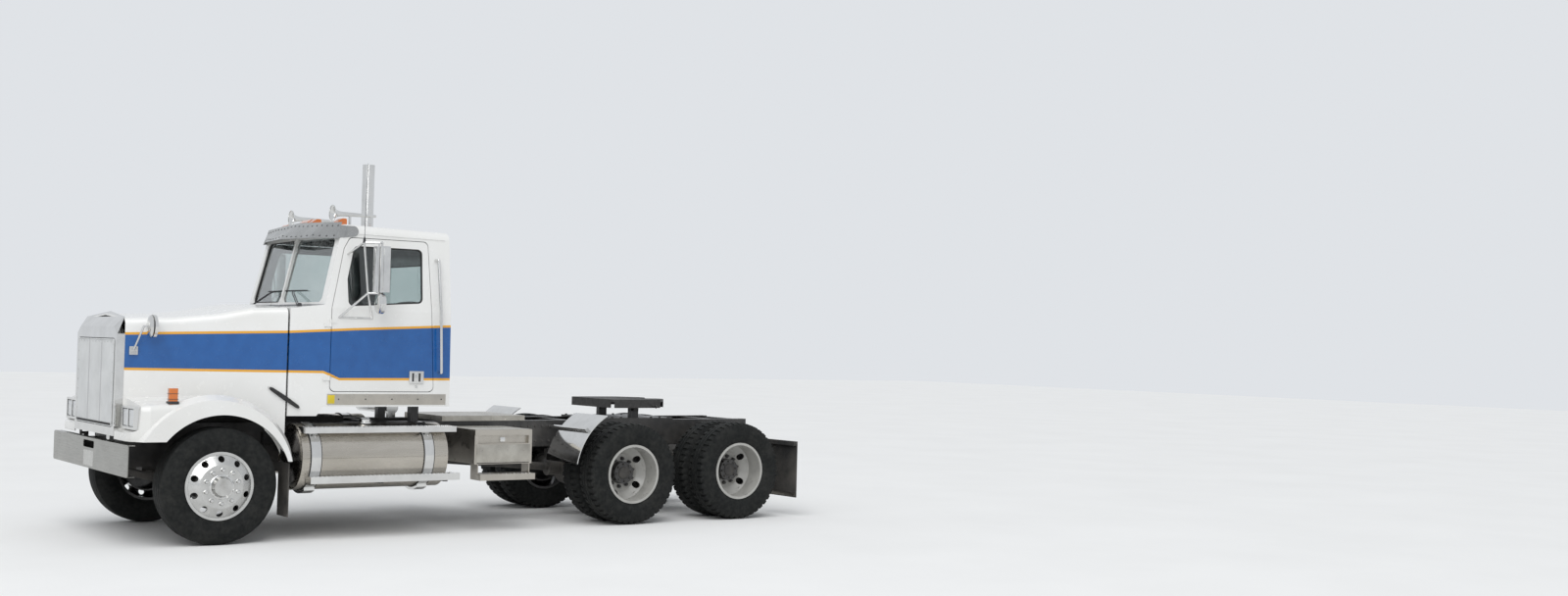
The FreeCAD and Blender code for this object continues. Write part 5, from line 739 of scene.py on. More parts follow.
def touch(node, start, direction):
    """Where a line from start first meets a CAD node, and that surface's direction."""
    found, place, outward, face = nodes[node].ray_cast(Vector(start), Vector(direction).normalized())
    if not found:
        raise ValueError("nothing of %s lies that way from %s" % (node, tuple(start)))
    return place, outward


def from_side(node, sign, y, z):
    """Where a line from beside the truck first meets a node, and that surface's direction."""
    return touch(node, at(sign * BESIDE_X, y, z), (-sign, 0, 0))


def from_front(node, x, z):
    return touch(node, at(x, AHEAD_Y, z), (0, 1, 0))


def from_above(node, x, y):
    return touch(node, at(x, y, ABOVE_Z), (0, 0, -1))


def welded(node):
    """A CAD node's mesh with its doubled points joined."""
    bm = bmesh.new()
    bm.from_mesh(nodes[node].data)
    bmesh.ops.remove_doubles(bm, verts=bm.verts, dist=0.02 * MM)
    return bm


def rims(node, direction, least):
    """Closed loops of points round a CAD node's faces that look along a direction, the longest first."""
    bm = welded(node)
    direction = Vector(direction).normalized()
    facing = {face for face in bm.faces if face.normal.dot(direction) > least}
    links = {}
    for edge in bm.edges:
        if sum(face in facing for face in edge.link_faces) == 1:
            for corner in edge.verts:
                links.setdefault(corner, []).append(edge.other_vert(corner))
    loops = []
    left = dict.fromkeys(links)
    while left:
        loop = [next(iter(left))]
        del left[loop[0]]
        while True:
            following = [other for other in links[loop[-1]] if other in left]
            if not following:
                break
            del left[following[0]]
            loop.append(following[0])
        if len(loop) > 2:
            loops.append([other.co.copy() for other in loop])
    bm.free()
    return sorted(loops, key=lambda loop: -span(loop))


def span(loop):
    """The length of a closed loop of points."""
    return sum((after - before).length for before, after in zip(loop, loop[1:] + loop[:1]))


def evened(loop, step):
    """A closed loop with points set evenly along it."""
    total = span(loop)
    count = max(8, round(total / step))
    points = []
    walked = 0.0
    for before, after in zip(loop, loop[1:] + loop[:1]):
        length = (after - before).length
        while len(points) < count and len(points) * total / count <= walked + length:
            share = (len(points) * total / count - walked) / length if length else 0
            points.append(before.lerp(after, share))
        walked += length
    return points


def bead(shape, loop, radius, shift=(0, 0, 0), step=0.03):
    """A round seal along a loop, moved a little to where it sits."""
    return shape.tube([point + Vector(shift) for point in evened(loop, step)], radius, closed=True)


# Wheels: hand holes through the discs, nuts, studs and caps

FRONT_HOLES = {"ring": 0.237, "radius": 28 * MM, "count": 10, "reach": (1.10, 1.26)}
DRIVE_HOLES = {"ring": 0.222, "radius": 36 * MM, "count": 5, "reach": (0.85, 0.99)}
FRONT_FACE_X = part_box("front_rim_left")[1].x - 52 * MM
DRIVE_FACE_X, HUB_END_X = 0.9395, 1.0155
FRONT_NUT_RING, DRIVE_NUT_RING, HUB_BOLT_RING = 0.146, 0.1425, 0.088
VALVE_RING = 0.262
FRONT_NUT = ((0, 0.026), (0.005, 0.026), (0.007, 0.0205), (0.030, 0.019), (0.036, 0.014),
             (0.038, 0.006))
HUB_CAP = ((-0.004, 0.064), (0.0015, 0.060), (0.0019, 0.030), (0.0019, 0.004))
HUB_COLLAR = ((0, 0.108), (0.006, 0.108), (0.008, 0.104), (0.010, 0.101))
DRIVE_NUT = ((0, 0.022), (0.004, 0.022), (0.005, 0.018), (0.026, 0.018), (0.028, 0.016))
STUD = ((0.020, 0.011), (0.040, 0.011), (0.041, 0.009))
AXLE_CAP = ((0, 0.066), (0.010, 0.064), (0.016, 0.056), (0.018, 0.03))


def bored(node, body, slot, material, ring, radius, count, reach):
    """The wheel of a CAD node with round hand holes cut through its discs, their walls in black rubber as
    painted shade.
    """
    bm = welded(node)
    wheel = holder("wheel_block", bm)
    bm.free()
    cutter = Shape()
    low, high = sorted(x if "left" in node else -x for x in reach)
    holes = circle(middle(node) * Vector((0, 1, 1)), ring, count, math.pi / count)
    for place in holes:
        cutter.lathe(place + Vector((low, 0, 0)), (1, 0, 0), ((0, radius), (high - low, radius)), 28)
    bmesh.ops.recalc_face_normals(cutter.bm, faces=cutter.bm.faces)
    drill = holder("wheel_drill", cutter.bm)
    cutter.bm.free()
    cut = wheel.modifiers.new("holes", "BOOLEAN")
    cut.operation = "DIFFERENCE"
    cut.solver = "EXACT"
    cut.object = drill
    bpy.context.view_layer.update()
    shape = Shape(material, rubber)
    shape.bm.from_mesh(worked_out(wheel))
    for face in shape.bm.faces:
        place = face.calc_center_median() * Vector((0, 1, 1))
        in_hole = any((place - hole).length < radius + 1 * MM for hole in holes)
        # Painted shade: the walls of the hand holes get the black rubber material, so the holes look dark.
        face.material_index = int(in_hole and abs(face.normal.x) < 0.2)
    scrap(wheel, drill)
    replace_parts(shape.done(node.replace("rim", "disc"), body, slot, 30), node)


def front_nuts(side, sign):
    out = Vector((sign, 0, 0))
    hub = middle("front_rim_" + side)
    face = Vector((FRONT_FACE_X * sign, hub.y, hub.z))
    shape = Shape(chrome, iron)
    for place in circle(face, FRONT_NUT_RING, 10, 0.3):
        shape.lathe(place - out * SUNK, out, FRONT_NUT, 6)
    shape.lathe(face + out * 50 * MM, out, HUB_CAP, 40)
    shape.lathe(face - out * SUNK, out, HUB_COLLAR, 48)
    valve = circle(face, VALVE_RING, 1, 2.1)[0]
    shape.use(iron).rod(valve - out * 60 * MM, valve + out * 8 * MM, 4 * MM, 8)
    shape.done("front_nuts_" + side, "wheel_front_" + side, "bright")


def drive_nuts(axle, side, sign):
    out = Vector((sign, 0, 0))
    centre = middle(axle + "_rims_" + side)
    face = Vector((DRIVE_FACE_X * sign, centre.y, centre.z))
    end = Vector((HUB_END_X * sign, centre.y, centre.z))
    shape = Shape(hub_black, iron)
    for place in circle(face, DRIVE_NUT_RING, 10, 0.2):
        shape.lathe(place - out * SUNK, out, DRIVE_NUT, 6)
        shape.lathe(place, out, STUD, 10)
    shape.use(iron).bolts(circle(end, HUB_BOLT_RING, 8, 0.1), out, 11 * MM, 14 * MM)
    shape.lathe(end - out * 3 * MM, out, AXLE_CAP)
    shape.done(axle + "_nuts_" + side, "wheel_%s_%s" % (axle, side), "iron")


def wheel_fittings():
    for side, sign in SIDES:
        bored("front_rim_" + side, "wheel_front_" + side, "bright", polished_wheel, **FRONT_HOLES)
        for axle in DRIVES:
            bored(axle + "_rims_" + side, "wheel_%s_%s" % (axle, side), "wheel_paint",
                  painted_wheels[axle], **DRIVE_HOLES)
    for side, sign in SIDES:
        front_nuts(side, sign)
        for axle in DRIVES:
            drive_nuts(axle, side, sign)


# Cab: seals, handles, wipers, rails and trim

def cab_seals():
    seals = Shape(rubber)
    for loop in rims("cab_glass", (0, -1, 0.2), 0.55)[:2]:
        bead(seals, loop, 11 * MM, (0, -1 * MM, 0), 0.04)
    bead(seals, rims("cab_glass", (0, 1, 0), 0.8)[0], 11 * MM)
    seals.done("screen_seals", "chassis", "rubber")
    rear_edge = rims("hood", (0, 1, 0), 0.7)[0]
    centre = sum(rear_edge, Vector()) / len(rear_edge)
    loop = [centre + (point - centre) * 0.985 + mm(0, 9, 0) for point in rear_edge]
    low = min(point.z for point in loop)
    upper = [point for point in evened(loop, 0.03) if point.z > low + 0.12]
    upper.sort(key=lambda point: math.atan2(point.x, point.z - low + 0.2))
    Shape(rubber).tube(upper, 6 * MM).done("cowl_seal", "chassis", "rubber")


def window_seal(side, sign):
    shape = Shape(rubber)
    bead(shape, rims("door_glass_" + side, (sign, 0, 0), 0.7)[0], 12 * MM, mm(sign * 2, 0, 0), 0.04)
    shape.done("window_seal_" + side, "door_" + side, "rubber")


def door_handle(side, sign):
    place = from_side("door_" + side, sign, 1.857, 1.470)[0]
    shape = Shape(chrome, plastic)
    shape.box(place + mm(-3, -74, -60), place + mm(sign * 12, 74, 60), 7 * MM)
    for y in (-36, 30):
        low, high = place + mm(sign * 10.5, y - 10, -40), place + mm(sign * 13, y + 10, 40)
        shape.use(plastic).box(low, high, 1 * MM)
    grip = place + mm(sign * 15, -3, 0)
    shape.use(chrome).box(grip - mm(4, 7, 42), grip + mm(4, 7, 42), 3 * MM)
    shape.rod(place + mm(0, 0, -85), place + mm(sign * 9, 0, -85), 11 * MM, 20)
    shape.done("door_handle_" + side, "door_" + side, "polished")


def sill(side, sign):
    """The bright strip along the cab's foot, its bolts and a small blank sticker."""
    shape = Shape(bright, iron, signal_yellow)
    x = from_side("cab_shell", sign, 1.6, 1.26)[0].x
    start, end, low, high = 0.990, 2.165, 1.212, 1.312
    face = x + sign * 2.5 * MM
    shape.box(at(x - sign * 2 * MM, start, low), at(face, end, high), 1.2 * MM)
    shape.use(iron).bolts([at(face, y, low + 52 * MM) for y in (1.10, 1.36, 1.62, 1.88, 2.12)],
                          (sign, 0, 0), 7 * MM, 5 * MM)
    shape.use(signal_yellow).box(at(x + sign * 2 * MM, start + 6 * MM, low + 12 * MM),
                                 at(x + sign * 3.2 * MM, start + 72 * MM, high - 10 * MM), 0.4 * MM)
    shape.done("sill_strip_" + side, "chassis", "bright")


def drip_rail(side, sign):
    points = []
    for step in range(15):
        y, z = 1.20 + step * 0.067, 2.795 - 0.012 * step / 14
        place, outward = from_side("cab_shell", sign, y, z)
        points.append(place + outward * 1 * MM)
    Shape(paint).tube(points, 6 * MM).done("drip_rail_" + side, "chassis", "cab_paint")


def wiper(side, sign):
    """A wiper with two arms from one foot, its blade across the lower part of the glass."""
    shape = Shape(plastic, rubber)
    outer, inner = 0.520, -0.02
    blade = []
    for step in range(9):
        x = abs(outer + (inner - outer) * step / 8)
        blade.append(from_front("cab_glass", sign * x, 2.262)[0] + mm(0, -9, 0))
    shape.use(rubber).tube(blade, 5 * MM, 6)
    shape.use(plastic).tube([point + mm(0, -8, 2) for point in blade[1:-1]], 4 * MM, 6)
    foot = from_front("cab_shell", sign * 0.64, 2.112)[0] + mm(0, -6, 0)
    joint = blade[4] + mm(0, -18, 0)
    for x in (-22, 22):
        elbow = foot.lerp(joint, 0.85) + mm(x, -14, 0)
        shape.tube([foot + mm(x, -8, 0), elbow, joint + mm(x, 0, 0)], 4.5 * MM, 6)
    shape.lathe(foot + mm(0, 14, 0), (0, -1, 0.15), ((0, 0.028), (0.018, 0.026), (0.030, 0.016)), 20)
    shape.done("wiper_" + side, "chassis", "plastic")


def latch(side, sign):
    """The rubber strap that holds the hood to the cab's cowl."""
    shape = Shape(rubber, chrome)
    start = from_side("hood", sign, 0.486, 1.364)[0]
    end = from_side("cab_shell", sign, 0.742, 1.185)[0]
    across = (end - start).normalized().cross(Vector((sign, 0, 0))).normalized()
    widths = ((0, 8), (0.06, 15), (0.45, 20), (0.55, 20), (0.94, 15), (1, 8))
    line = [(start.lerp(end, share) + mm(sign * 14, 0, 0), across * half * MM) for share, half in widths]
    one_side = [point + half for point, half in line]
    shape.prism(one_side + [point - half for point, half in reversed(line)], mm(sign * 8, 0, 0))
    button = ((0, 14 * MM), (20 * MM, 10 * MM))
    for foot in (start, end):
        shape.use(chrome).lathe(foot - mm(sign * 2, 0, 0), (sign, 0, 0), button, 16)
    shape.done("hood_strap_" + side, "chassis", "rubber")


# Roof: rivets on the visor, lamp feet and the whip aerial

VISOR_HALF = 0.95
VISOR_FRONT, VISOR_BACK = (0.868, 0.194), (1.062, 0.044)  # y in the middle, and its sweep at the ends
RIVET = ((0, 9 * MM), (3 * MM, 8 * MM), (5 * MM, 3 * MM))


def roof_trim():
    shape = Shape(iron)
    for share in (0.18, 0.80):
        for step in range(19):
            x = -0.90 + step * 0.1
            front, back = [y + sweep * (x / VISOR_HALF) ** 2 for y, sweep in (VISOR_FRONT, VISOR_BACK)]
            place, outward = from_above("sun_visor", x, front + (back - front) * share)
            shape.lathe(place - outward * 1 * MM, outward, RIVET, 10)
    shape.done("visor_rivets", "chassis", "bright")
    feet = Shape(chrome)
    for x, y in ((-0.700, 1.190), (-0.125, 1.168), (0.125, 1.168), (0.0, 1.168), (0.700, 1.190)):
        place, outward = from_above("cab_shell", x + 0.062, y + 0.044)
        feet.bolts([place], outward, 5 * MM, 4 * MM)
    feet.done("lamp_screws", "chassis", "bright")
    whip = Shape(plastic)
    foot = at(1.180, 1.232, 2.700)
    whip.lathe(foot, (0, 0, 1), ((0, 14 * MM), (0.03, 12 * MM), (0.05, 6 * MM), (0.06, 3 * MM)), 14)
    whip.tube([foot + mm(0, 0, 50), foot + mm(0, 4, 300), foot + mm(0, 12, 730)], 2.4 * MM)
    whip.done("aerial", "door_left", "plastic")


# Front: lamp glass, hood mirrors and the cover's welt

def rectangle(centre, half_x, half_z, turn=Matrix.Identity(3)):
    """The four corners of an upright rectangle."""
    corners = ((-1, -1), (1, -1), (1, 1), (-1, 1))
    return [centre + turn @ Vector((x * half_x, 0, z * half_z)) for x, z in corners]


def front_trim(side, sign):
    shape = Shape(chrome, lamp_glass, plastic)
    for start in (0.757, 0.928):
        low = at(sign * (start + 8 * MM), -0.727, 1.032)
        high = at(sign * (start + 143 * MM), -0.716, 1.174)
        shape.use(lamp_glass).box(low, high, 7 * MM)
        centre = Vector(((low.x + high.x) / 2, low.y + 6 * MM, (low.z + high.z) / 2))
        corners = rectangle(centre, (high.x - low.x) / 2, (high.z - low.z) / 2)
        bead(shape.use(plastic), corners, 4 * MM, step=0.018)
    foot = touch("hood", at(sign * 1.060, -0.415, 1.6), (0, 0, -1))[0].z
    shape.use(plastic).box(at(sign * 1.062, -0.460, foot - 12 * MM),
                           at(sign * 1.138, -0.370, foot + 12 * MM), 5 * MM)
    for share in (0.33, 0.67):
        z = 1.220 + 0.140 * share
        shape.box(at(sign * 1.068, -0.455, z - 2 * MM), at(sign * 1.132, -0.375, z + 2 * MM), 1 * MM)
    shape.done("lamp_glass_" + side, "hood", "lamp")
    mirror = Shape(mirror_glass, chrome, lamp_glass)
    x, z = sign * 0.826, 1.885
    place = touch("hood_mirrors", at(x, 0.2, z), (0, -1, 0))[0]
    mirror.lathe(place - mm(0, 2, 0), (0, 1, 0),
                 ((0, 0.094), (0.003, 0.092), (0.007, 0.06), (0.009, 0.01)), 40)
    place = from_front("hood_mirrors", x, z)[0]
    mirror.use(chrome).lathe(place + mm(0, 2, 0), (0, -1, 0),
                             ((0, 0.099), (0.008, 0.092), (0.018, 0.064), (0.022, 0.01)), 40)
    pad_face = from_side("hood_mirrors", sign, -0.635, 1.672)[0]
    for up in (-17, 17):
        mirror.use(lamp_glass).slab(pad_face + mm(0, 0, up), mm(3, 25, 12), bevel=3 * MM)
    mirror.done("hood_mirror_glass_" + side, "hood", "polished")


def cover_trim():
    """The cover's welt, its two sewn lines and the studs that hold it to the grille surround."""
    shape = Shape(vinyl, chrome, rubber)
    bead(shape, rims("winter_front", (0, -1, 0), 0.5)[0], 5 * MM, (0, -1 * MM, 0))
    low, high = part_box("winter_front")
    front = low.y
    for x in (-0.205, -0.190, 0.190, 0.205):
        shape.tube([(x, front, low.z + 5 * MM), (x, front, high.z - 5 * MM)], 3 * MM, 6)
    shape.use(rubber).box((low.x + 0.03, front - 5 * MM, low.z + 6 * MM),
                          (high.x - 0.03, front + 2 * MM, low.z + 24 * MM), 2 * MM)
    inset, first = 0.022, 0.03
    heads = []
    for step in range(9):
        z = low.z + first + (high.z - low.z - 2 * first) * step / 8
        heads += [(x, front, z) for x in (low.x + inset, high.x - inset)]
    for step in range(1, 12):
        x = low.x + (high.x - low.x) * step / 12
        heads += [(x, front, z) for z in (low.z + inset, high.z - inset)]
    shape.use(chrome).bolts(heads, (0, -1, 0), 8 * MM, 4 * MM, 12)
    shape.done("cover_welt", "hood", "rubber")


# Door mirrors: glass, rims and ribs on the turned heads

MIRROR_X, MIRROR_Y = 1.262, 1.372


def mirror_trim(side, sign):
    shape = Shape(mirror_glass, rubber, chrome)
    turn = Matrix.Rotation(sign * math.radians(20), 3, "Z")
    back = turn @ Vector((0, 1, 0))
    centre = at(sign * MIRROR_X, MIRROR_Y, 2.461)
    shape.slab(centre + back * 31 * MM, mm(73, 2, 198), turn, 1.5 * MM)
    corners = rectangle(centre + back * 32 * MM, 0.075, 0.200, turn)
    bead(shape.use(rubber), corners, 4 * MM, step=0.02)
    for across in (-55, 0, 55):
        rib = centre - back * 31 * MM + turn @ mm(across, 0, 0)
        shape.use(chrome).slab(rib, mm(3, 3, 190), turn, 1 * MM)
    out = centre - back * 38 * MM
    shape.tube([at(sign * MIRROR_X, MIRROR_Y, 2.712), out + mm(0, 0, 235), out + mm(0, 0, -215),
                at(sign * MIRROR_X, MIRROR_Y, 2.232)], 9 * MM, 10)
    round_centre = at(sign * MIRROR_X, MIRROR_Y + 15 * MM, 2.150)
    shape.use(mirror_glass).lathe(round_centre - mm(0, 2, 0), (0, 1, 0),
                                  ((0, 0.090), (0.004, 0.088), (0.010, 0.06), (0.013, 0.01)), 40)
    shape.use(chrome).lathe(round_centre - mm(0, 28, 0), (0, -1, 0),
                            ((0, 0.096), (0.010, 0.088), (0.022, 0.055), (0.026, 0.01)), 40)
    shape.done("mirror_glass_" + side, "door_" + side, "polished")


# Tanks, steps and boxes

TANK_X, TANK_Z = 0.900, 0.740
STRAPS, STRAP_WIDTH = (0.787, 1.880), 94 * MM
STEPS = (((1.055, 1.214), (0.735, 2.172), 1.019), ((1.055, 1.214), (0.800, 2.220), 0.577),
         ((1.025, 1.210), (2.470, 3.025), 0.555))
STUD_PITCH = 42 * MM


def studs(shape, sign, x_range, y_range, z):
    """Grip studs over the top of a step."""
    low, high = at(x_range[0], y_range[0], z), at(x_range[1], y_range[1], z)
    across = round((high.x - low.x) / STUD_PITCH)
    along = round((high.y - low.y) / STUD_PITCH)
    for i in range(across):
        for j in range(along):
            x = low.x + (high.x - low.x) * (i + 0.5) / across
            y = low.y + (high.y - low.y) * (j + 0.5) / along
            shape.lathe((sign * x, y, z - 1 * MM), (0, 0, 1), ((0, 7 * MM), (3 * MM, 5.5 * MM)), 6)


def tank_trim(side, sign):
    shape = Shape(rubber, chrome, iron, tank_skin)
    for start in STRAPS:
        for y in (start + 1 * MM, start + STRAP_WIDTH + 5 * MM):
            centre = at(sign * TANK_X, y, TANK_Z)
            shape.use(rubber).hoop(centre, (1, 0, 0), (0, 0, 1), 3 * MM, 0.3003, 0.3095, 72)
        for up in (0.19, -0.19):
            out = sign * 0.245
            outward = Vector((out, 0, up)).normalized()
            bolt = at(sign * TANK_X + out, start + 50 * MM, TANK_Z + up)
            shape.use(chrome).lathe(bolt - outward * 6 * MM, outward,
                                    ((0, 12 * MM), (12 * MM, 12 * MM), (16 * MM, 8 * MM)), 6)
    shape.use(tank_skin).tube([at(sign * 1.2005, y, TANK_Z) for y in (0.716, 2.114)], 2.5 * MM, 6)
    cap = at(sign * 0.925, 1.400, 1.036)
    shape.use(chrome).lathe(cap, (0, 0, 1), ((0, 0.062), (0.014, 0.062), (0.016, 0.052), (0.040, 0.052),
                                             (0.045, 0.046)))
    for turn in (0, math.pi / 2):
        shape.slab(cap + mm(0, 0, 46), mm(40, 6, 5), Matrix.Rotation(turn, 3, "Z"), 2 * MM)
    for y in (0.80, 1.46, 2.10):
        shape.use(iron).box(at(sign * 1.05, y - 0.02, 0.500), at(sign * 1.21, y + 0.02, 0.5135), 2 * MM)
    shape.done("tank_fittings_" + side, "chassis", "bright")
    grips = Shape(chrome)
    for step in STEPS:
        studs(grips, sign, *step)
    grips.done("step_grips_" + side, "chassis", "bright")


def box_trim(side, sign):
    shape = Shape(bright, plate, chrome, iron)
    shape.use(plate).box(at(sign * 1.188, 2.418, 0.664), at(sign * 1.1945, 2.994, 0.836), 2.5 * MM)
    shape.box(at(sign * 0.566, 2.394, 0.9795), at(sign * 1.216, 2.989, 0.9825), 0.8 * MM)
    shape.use(chrome).box(at(sign * 1.150, 2.680, 0.862), at(sign * 1.168, 2.732, 0.905), 4 * MM)
    shape.use(iron).tube([at(sign * 1.193, y, 0.660) for y in (2.430, 2.982)], 5 * MM)
    shape.done("box_fittings_" + side, "chassis", "bright")


# Frame, coupling, exhaust and flaps

BOLT_RUNS = ((0.66, 0.70), (2.25, 2.40), (3.06, 3.62), (5.50, 6.02))
COUPLING_Y = 4.70
STACK_X, STACK_Y = 1.150, 2.236
GUARD_RADIUS = 91.5 * MM
FENDER_EDGE_RADIUS = 0.6835


def frame_trim():
    shape = Shape(iron)
    for side, sign in SIDES:
        for start, end in BOLT_RUNS:
            gaps = max(2, round((end - start) / 0.07)) - 1
            for step in range(gaps + 1):
                heads = [at(sign * 0.432, start + (end - start) * step / gaps, z) for z in (0.815, 0.965)]
                shape.bolts(heads, (sign, 0, 0), 12 * MM, 12 * MM)
        for y in (-0.41, -0.30, -0.19, 0.19, 0.30, 0.41):
            shape.bolts([at(sign * 0.395, COUPLING_Y + y, 1.043)], (0, 0, 1), 13 * MM, 12 * MM)
    shape.done("frame_bolts", "chassis", "iron")


def coupling_trim():
    """The release handle and grease points of the fifth wheel."""
    shape = Shape(iron, chrome)
    shape.tube([at(0.30, 4.86, 1.175), at(0.46, 4.86, 1.172), at(0.52, 4.85, 1.168)], 9 * MM, 10)
    eye = ((0.52, 1.168), (0.552, 1.182), (0.566, 1.168), (0.552, 1.154), (0.526, 1.162))
    shape.tube([at(x, 4.85, z) for x, z in eye], 7 * MM)
    for x, y in ((-0.30, 4.52), (0.30, 4.52), (-0.36, 4.72), (0.36, 4.72)):
        shape.lathe(at(x, y, 1.239), (0, 0, 1), ((0, 9 * MM), (0.5 * MM, 8 * MM)), 16)
    shape.done("release_handle", "fifth_wheel", "iron")


def exhaust_trim():
    """Dimples over the stack's heat guard in dark iron, their dark colour painted shade, and its two
    clamps.
    """
    shape = Shape(iron, chrome)
    centre = at(math.copysign(STACK_X, middle("exhaust_stack").x), STACK_Y, 0)
    # Painted shade: the dimples are dark iron discs standing on the guard.
    for row in range(20):
        for step in range(14):
            turn = math.tau * (step + 0.5 * (row % 2)) / 14
            outward = Vector((math.cos(turn), math.sin(turn), 0))
            place = centre + outward * GUARD_RADIUS + Vector((0, 0, 1.29 + row * 0.0415))
            shape.lathe(place - outward * 1 * MM, outward, ((0, 9 * MM), (1.8 * MM, 8 * MM)), 8)
    for z in (1.235, 2.135):
        clamp = centre + Vector((0, 0, z))
        shape.use(chrome).hoop(clamp, (1, 0, 0), (0, 1, 0), 16 * MM, 0.0925, 0.0975, 48)
    shape.done("stack_guard", "chassis", "polished")


def flap_trim():
    for side, sign in SIDES:
        shape = Shape(bright, iron)
        shape.box(at(sign * 0.640, 6.2435, 0.214), at(sign * 1.210, 6.2485, 0.252), 1.5 * MM)
        shape.box(at(sign * 0.910, 0.6125, 0.228), at(sign * 1.140, 0.6170, 0.256), 1.5 * MM)
        shape.use(iron).bolts([at(sign * x, 6.2480, 0.795) for x in (0.70, 0.86, 1.02, 1.18)],
                              (0, -1, 0), 9 * MM, 14 * MM)
        shape.done("flap_weights_" + side, "chassis", "bright")
        edge = Shape(chrome)
        centre = middle("drive1_rims_" + side)
        for x in (0.604, 1.226):
            hub = Vector((sign * x, centre.y, centre.z))
            turns = [math.radians(120 + 50 * step / 12) for step in range(13)]
            edge.tube([hub + Vector((0, math.cos(turn), math.sin(turn))) * FENDER_EDGE_RADIUS
                       for turn in turns], 3.8 * MM)
        edge.done("fender_edges_" + side, "chassis", "polished")


# Interior: padded seats, gauges and door linings

PAD_PRESSURE = 4
PAD_FRAMES = 20
PAD_SWELL = 6 * MM
PAD_GROOVE = 9 * MM
SEAT_X, SEAT_Y = 0.480, 1.680


def puffed(bm, sewn):
    """Swells a pad by air pressure between its sewn lines, as cloth, and moves its points to the result."""
    piece = holder("pad_cloth", bm)
    piece.vertex_groups.new(name="sewn").add(sewn, 1.0, "REPLACE")
    sheet = piece.modifiers.new("cloth", "CLOTH")
    sheet.settings.use_pressure = True
    sheet.settings.uniform_pressure_force = PAD_PRESSURE
    sheet.settings.effector_weights.gravity = 0
    sheet.settings.vertex_group_mass = "sewn"
    sheet.point_cache.frame_start = 1
    sheet.point_cache.frame_end = PAD_FRAMES
    for frame_number in range(1, PAD_FRAMES + 1):
        bpy.context.scene.frame_set(frame_number)
    bm.verts.ensure_lookup_table()
    for corner in worked_out(piece).vertices:
        step = corner.co - bm.verts[corner.index].co
        if step.length > PAD_SWELL:
            step = step.normalized() * PAD_SWELL
        bm.verts[corner.index].co += step
    bpy.context.scene.frame_set(1)
    scrap(piece)


def pad(name, body, centre, half, pleats, axis):
    """A plump block with channels sewn in one face, whose axis is z for a seat and y for a back."""
    shape = Shape(fabric)
    bm = shape.bm
    bmesh.ops.create_cube(bm, size=2)
    bmesh.ops.subdivide_edges(bm, edges=bm.edges, cuts=22, use_grid_fill=True)
    bm.verts.index_update()
    sewn = []
    for corner in bm.verts:
        u = corner.co / sum(abs(part) ** 7 for part in corner.co) ** (1 / 7)
        place = Vector(part * (reach - PAD_SWELL) for part, reach in zip(u, half))
        side = u.z if axis == "z" else -u.y
        if side > 0.6:
            groove = abs(math.sin(math.pi * pleats * (u.x + 1) / 2)) ** 0.5
            inset = (1 - groove) * PAD_GROOVE * min(1.0, (side - 0.6) * 4)
            place -= Vector((0, 0, inset)) if axis == "z" else Vector((0, -inset, 0))
            if groove < 0.35:
                sewn.append(corner.index)
        elif side < -0.9:
            sewn.append(corner.index)
        corner.co = centre + place
    puffed(bm, sewn)
    piece = shape.done(name, body, "fabric", 60)
    return piece


def seats():
    for side, sign in SIDES:
        x, y = sign * SEAT_X, SEAT_Y
        cushion = pad("seat_cushion_" + side, "chassis", at(x, y, 1.635), (0.258, 0.258, 0.074), 6, "z")
        back = pad("seat_back_" + side, "chassis", at(x, 2.008, 1.950), (0.250, 0.066, 0.245), 5, "y")
        base = Shape(plastic, iron)
        for step in range(5):
            reach = 0.105 if step % 2 else 0.122
            low = 1.262 + step * 0.056
            base.box(at(x - reach, y - reach, low), at(x + reach, y + reach, low + 0.052), 0.018)
        base.use(iron).box(at(x - 0.15, 1.53, 1.2405), at(x + 0.15, 1.83, 1.264), 4 * MM)
        base.box(at(x - 0.20, 1.47, 1.540), at(x + 0.20, 1.93, 1.566), 5 * MM)
        for shift in (-0.19, 0.19):
            bar = ((1.90, 1.555), (2.03, 1.60), (2.05, 1.80))
            base.tube([at(x + shift, along, up) for along, up in bar], 14 * MM)
        stand = base.done("seat_base_" + side, "chassis", "plastic")
        for piece in (cushion, back, stand):
            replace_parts(piece, "seats")


def cockpit():
    """Round gauges with a pointer each, and a row of knobs."""
    shape = Shape(chrome, plastic, lamp_glass)
    for x in (0.26, 0.36, 0.48, 0.60, 0.70):
        place, outward = touch("dashboard", at(x, 1.75, 1.90), (0, -1, 0))
        bezel = ((0, 44 * MM), (8 * MM, 44 * MM), (9 * MM, 38 * MM))
        shape.use(chrome).lathe(place - outward * SUNK, outward, bezel)
        shape.use(plastic).lathe(place + outward * 6.5 * MM, outward, ((0, 37 * MM), (1.2 * MM, 37 * MM)))
        shape.use(lamp_glass).slab(place + outward * 8.5 * MM + mm(0, 0, 8), mm(1.2, 1, 14),
                                   Matrix.Rotation(0.5, 3, "Y"))
    for step in range(8):
        place, outward = touch("dashboard", at(-0.02 - step * 0.045, 1.75, 1.84), (0, -1, 0))
        shape.use(plastic).lathe(place - outward * SUNK, outward, ((0, 13 * MM), (18 * MM, 11 * MM)), 16)
    shape.done("gauges", "chassis", "plastic")


